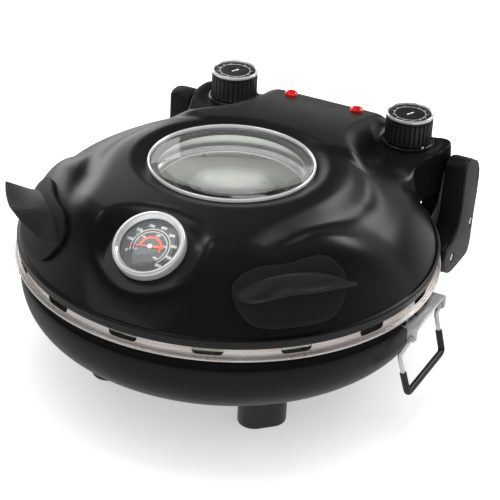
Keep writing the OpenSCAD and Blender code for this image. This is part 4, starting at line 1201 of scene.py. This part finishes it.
class OVEN_OT_stage(OvenOperator):
    """Pale floor, soft lights and the camera"""
    bl_idname = "oven.stage"
    bl_label = "Stage"

    def execute(self, context):
        scene = context.scene
        scene.view_settings.view_transform = "Standard"
        bm = bmesh.new()
        bmesh.ops.create_grid(bm, x_segments=1, y_segments=1, size=6)
        mesh = bpy.data.meshes.new("floor")
        bm.to_mesh(mesh)
        bm.free()
        floor = bpy.data.objects.new("floor", mesh)
        scene.collection.objects.link(floor)
        material, tree, shader = start_material("floor_paint")
        shader.inputs["Base Color"].default_value = (0.8, 0.8, 0.8, 1)
        shader.inputs["Roughness"].default_value = 0.9
        shader.inputs["Specular IOR Level"].default_value = 0.0
        rays = node(tree, "ShaderNodeLightPath")
        glow = node(tree, "ShaderNodeEmission", {"Color": (1, 1, 1, 1)})
        either = math_node(tree, "MAXIMUM", rays.outputs["Is Camera Ray"], rays.outputs["Is Transmission Ray"])
        tree.links.new(math_node(tree, "MULTIPLY", either, 0.45), glow.inputs["Strength"])
        lit = node(tree, "ShaderNodeAddShader", {0: shader.outputs[0], 1: glow.outputs[0]})
        mirrored = node(tree, "ShaderNodeEmission", {"Color": (1, 1, 1, 1), "Strength": 0.55})
        total = node(tree, "ShaderNodeMixShader",
                     {0: rays.outputs["Is Glossy Ray"], 1: lit.outputs[0], 2: mirrored.outputs[0]})
        tree.links.new(total.outputs[0], tree.nodes["Material Output"].inputs["Surface"])
        mesh.materials.append(material)

        world = bpy.data.worlds.new("studio")
        scene.world = world
        world.use_nodes = True
        tree = world.node_tree
        back = tree.nodes["Background"]
        back.inputs["Color"].default_value = (1, 1, 1, 1)
        rays = node(tree, "ShaderNodeLightPath")
        aim = node(tree, "ShaderNodeTexCoord").outputs["Generated"]
        height = node(tree, "ShaderNodeSeparateXYZ", {0: aim}).outputs[2]
        haze = node(tree, "ShaderNodeMapRange", {"Value": height, "From Min": 0.0, "From Max": 0.34,
                                                 "To Min": 0.65, "To Max": 0.0}).outputs[0]
        haze = math_node(tree, "MAXIMUM", math_node(tree, "POWER", haze, 1.6), 0.02)
        mirrored_sky = math_node(tree, "MULTIPLY", haze, rays.outputs["Is Glossy Ray"])
        soft_sky = math_node(tree, "MULTIPLY", rays.outputs["Is Diffuse Ray"], 0.85)
        direct = math_node(tree, "MAXIMUM", rays.outputs["Is Camera Ray"], rays.outputs["Is Transmission Ray"])
        total = math_node(tree, "MAXIMUM", direct, math_node(tree, "MAXIMUM", mirrored_sky, soft_sky))
        tree.links.new(total, back.inputs["Strength"])

        middle = (0, AXIS_Y * MM, 0.1)
        lights = {
            "left_box": area_light("left_box", (-1.35, 0.95, 0.55), middle, 1.3, 7, 0.9),
            "right_box": area_light("right_box", (0.62, 1.42, 1.2), middle, 1.0, 8, 0.6),
            "overhead": area_light("overhead", (-0.05, 0.25, 1.75), middle, 1.2, 14, 1.0),
            "bezel_card": area_light("bezel_card", (-0.46, -0.25, 1.25), (0, -0.141, 0.166), 0.5, 1.3, 0.5),
        }
        lights["oven_glow"] = area_light("oven_glow", (0, AXIS_Y * MM, 0.134), (0, AXIS_Y * MM, 0), 0.22, 0.17)
        window_spot = bpy.data.lights.new("window_spot", "SPOT")
        window_spot.energy, window_spot.spot_size, window_spot.spot_blend = 60, math.radians(8), 0.2
        window_spot.shadow_soft_size = 0.02
        lamp = bpy.data.objects.new("window_spot", window_spot)
        scene.collection.objects.link(lamp)
        aim = Vector((0, AXIS_Y * MM, SEAT_Z * MM))
        lamp.location = aim + 1.5 * Vector((0.36, -0.77, 0.53)).normalized()
        lamp.rotation_euler = (aim - lamp.location).to_track_quat("-Z", "Y").to_euler()
        lights["window_spot"] = lamp
        lights["oven_glow"].visible_camera = False
        for name in ("overhead", "window_spot", "oven_glow"):
            lights[name].visible_glossy = False
            lights[name].visible_transmission = False

        camera = bpy.data.cameras.new("camera")
        holder = bpy.data.objects.new("camera", camera)
        scene.collection.objects.link(holder)
        azimuth, elevation, roll = (math.radians(v) for v in (25.84, 29.18, 2.79))
        out = Vector((math.sin(azimuth) * math.cos(elevation), -math.cos(azimuth) * math.cos(elevation),
                      math.sin(elevation)))
        right = Vector((math.cos(azimuth), math.sin(azimuth), 0))
        up = out.cross(right)
        level_x = right * math.cos(roll) + up * math.sin(roll)
        level_y = -right * math.sin(roll) + up * math.cos(roll)
        place = Vector((0, AXIS_Y * MM, 0.106)) + out * 1.45 + level_x * 0.017 - level_y * 0.0076
        rotation = Matrix((level_x, level_y, out)).transposed()
        holder.matrix_world = Matrix.Translation(place) @ rotation.to_4x4()
        camera.sensor_width = 36
        camera.lens = 130.56
        camera.clip_start = 0.05
        scene.camera = holder
        return {"FINISHED"}


BUILD_ORDER = (OVEN_OT_lid, OVEN_OT_window, OVEN_OT_bowl, OVEN_OT_tray, OVEN_OT_handles, OVEN_OT_knobs,
               OVEN_OT_gauge, OVEN_OT_lamps, OVEN_OT_arms, OVEN_OT_bails, OVEN_OT_feet, OVEN_OT_inside,
               OVEN_OT_stage)


class OVEN_PT_panel(bpy.types.Panel):
    """Sidebar list of the builders"""
    bl_label = "Pizza Oven"
    bl_idname = "OVEN_PT_panel"
    bl_space_type = "VIEW_3D"
    bl_region_type = "UI"
    bl_category = "Pizza Oven"

    def draw(self, context):
        column = self.layout.column(align=True)
        for group in (context.scene.oven_sizes, context.scene.oven_colours):
            for name in group.__annotations__:
                column.prop(group, name)
        for builder in BUILD_ORDER:
            column.operator(builder.bl_idname)


CLASSES = (OvenSizes, OvenColours) + BUILD_ORDER + (OVEN_PT_panel,)


def register():
    for cls in CLASSES:
        bpy.utils.register_class(cls)
    bpy.types.Scene.oven_sizes = bpy.props.PointerProperty(type=OvenSizes)
    bpy.types.Scene.oven_colours = bpy.props.PointerProperty(type=OvenColours)


def unregister():
    del bpy.types.Scene.oven_colours
    del bpy.types.Scene.oven_sizes
    for cls in reversed(CLASSES):
        bpy.utils.unregister_class(cls)


def main():
    register()
    for builder in BUILD_ORDER:
        group, name = builder.bl_idname.split(".")
        getattr(getattr(bpy.ops, group), name)()


if __name__ == "__main__":
    main()
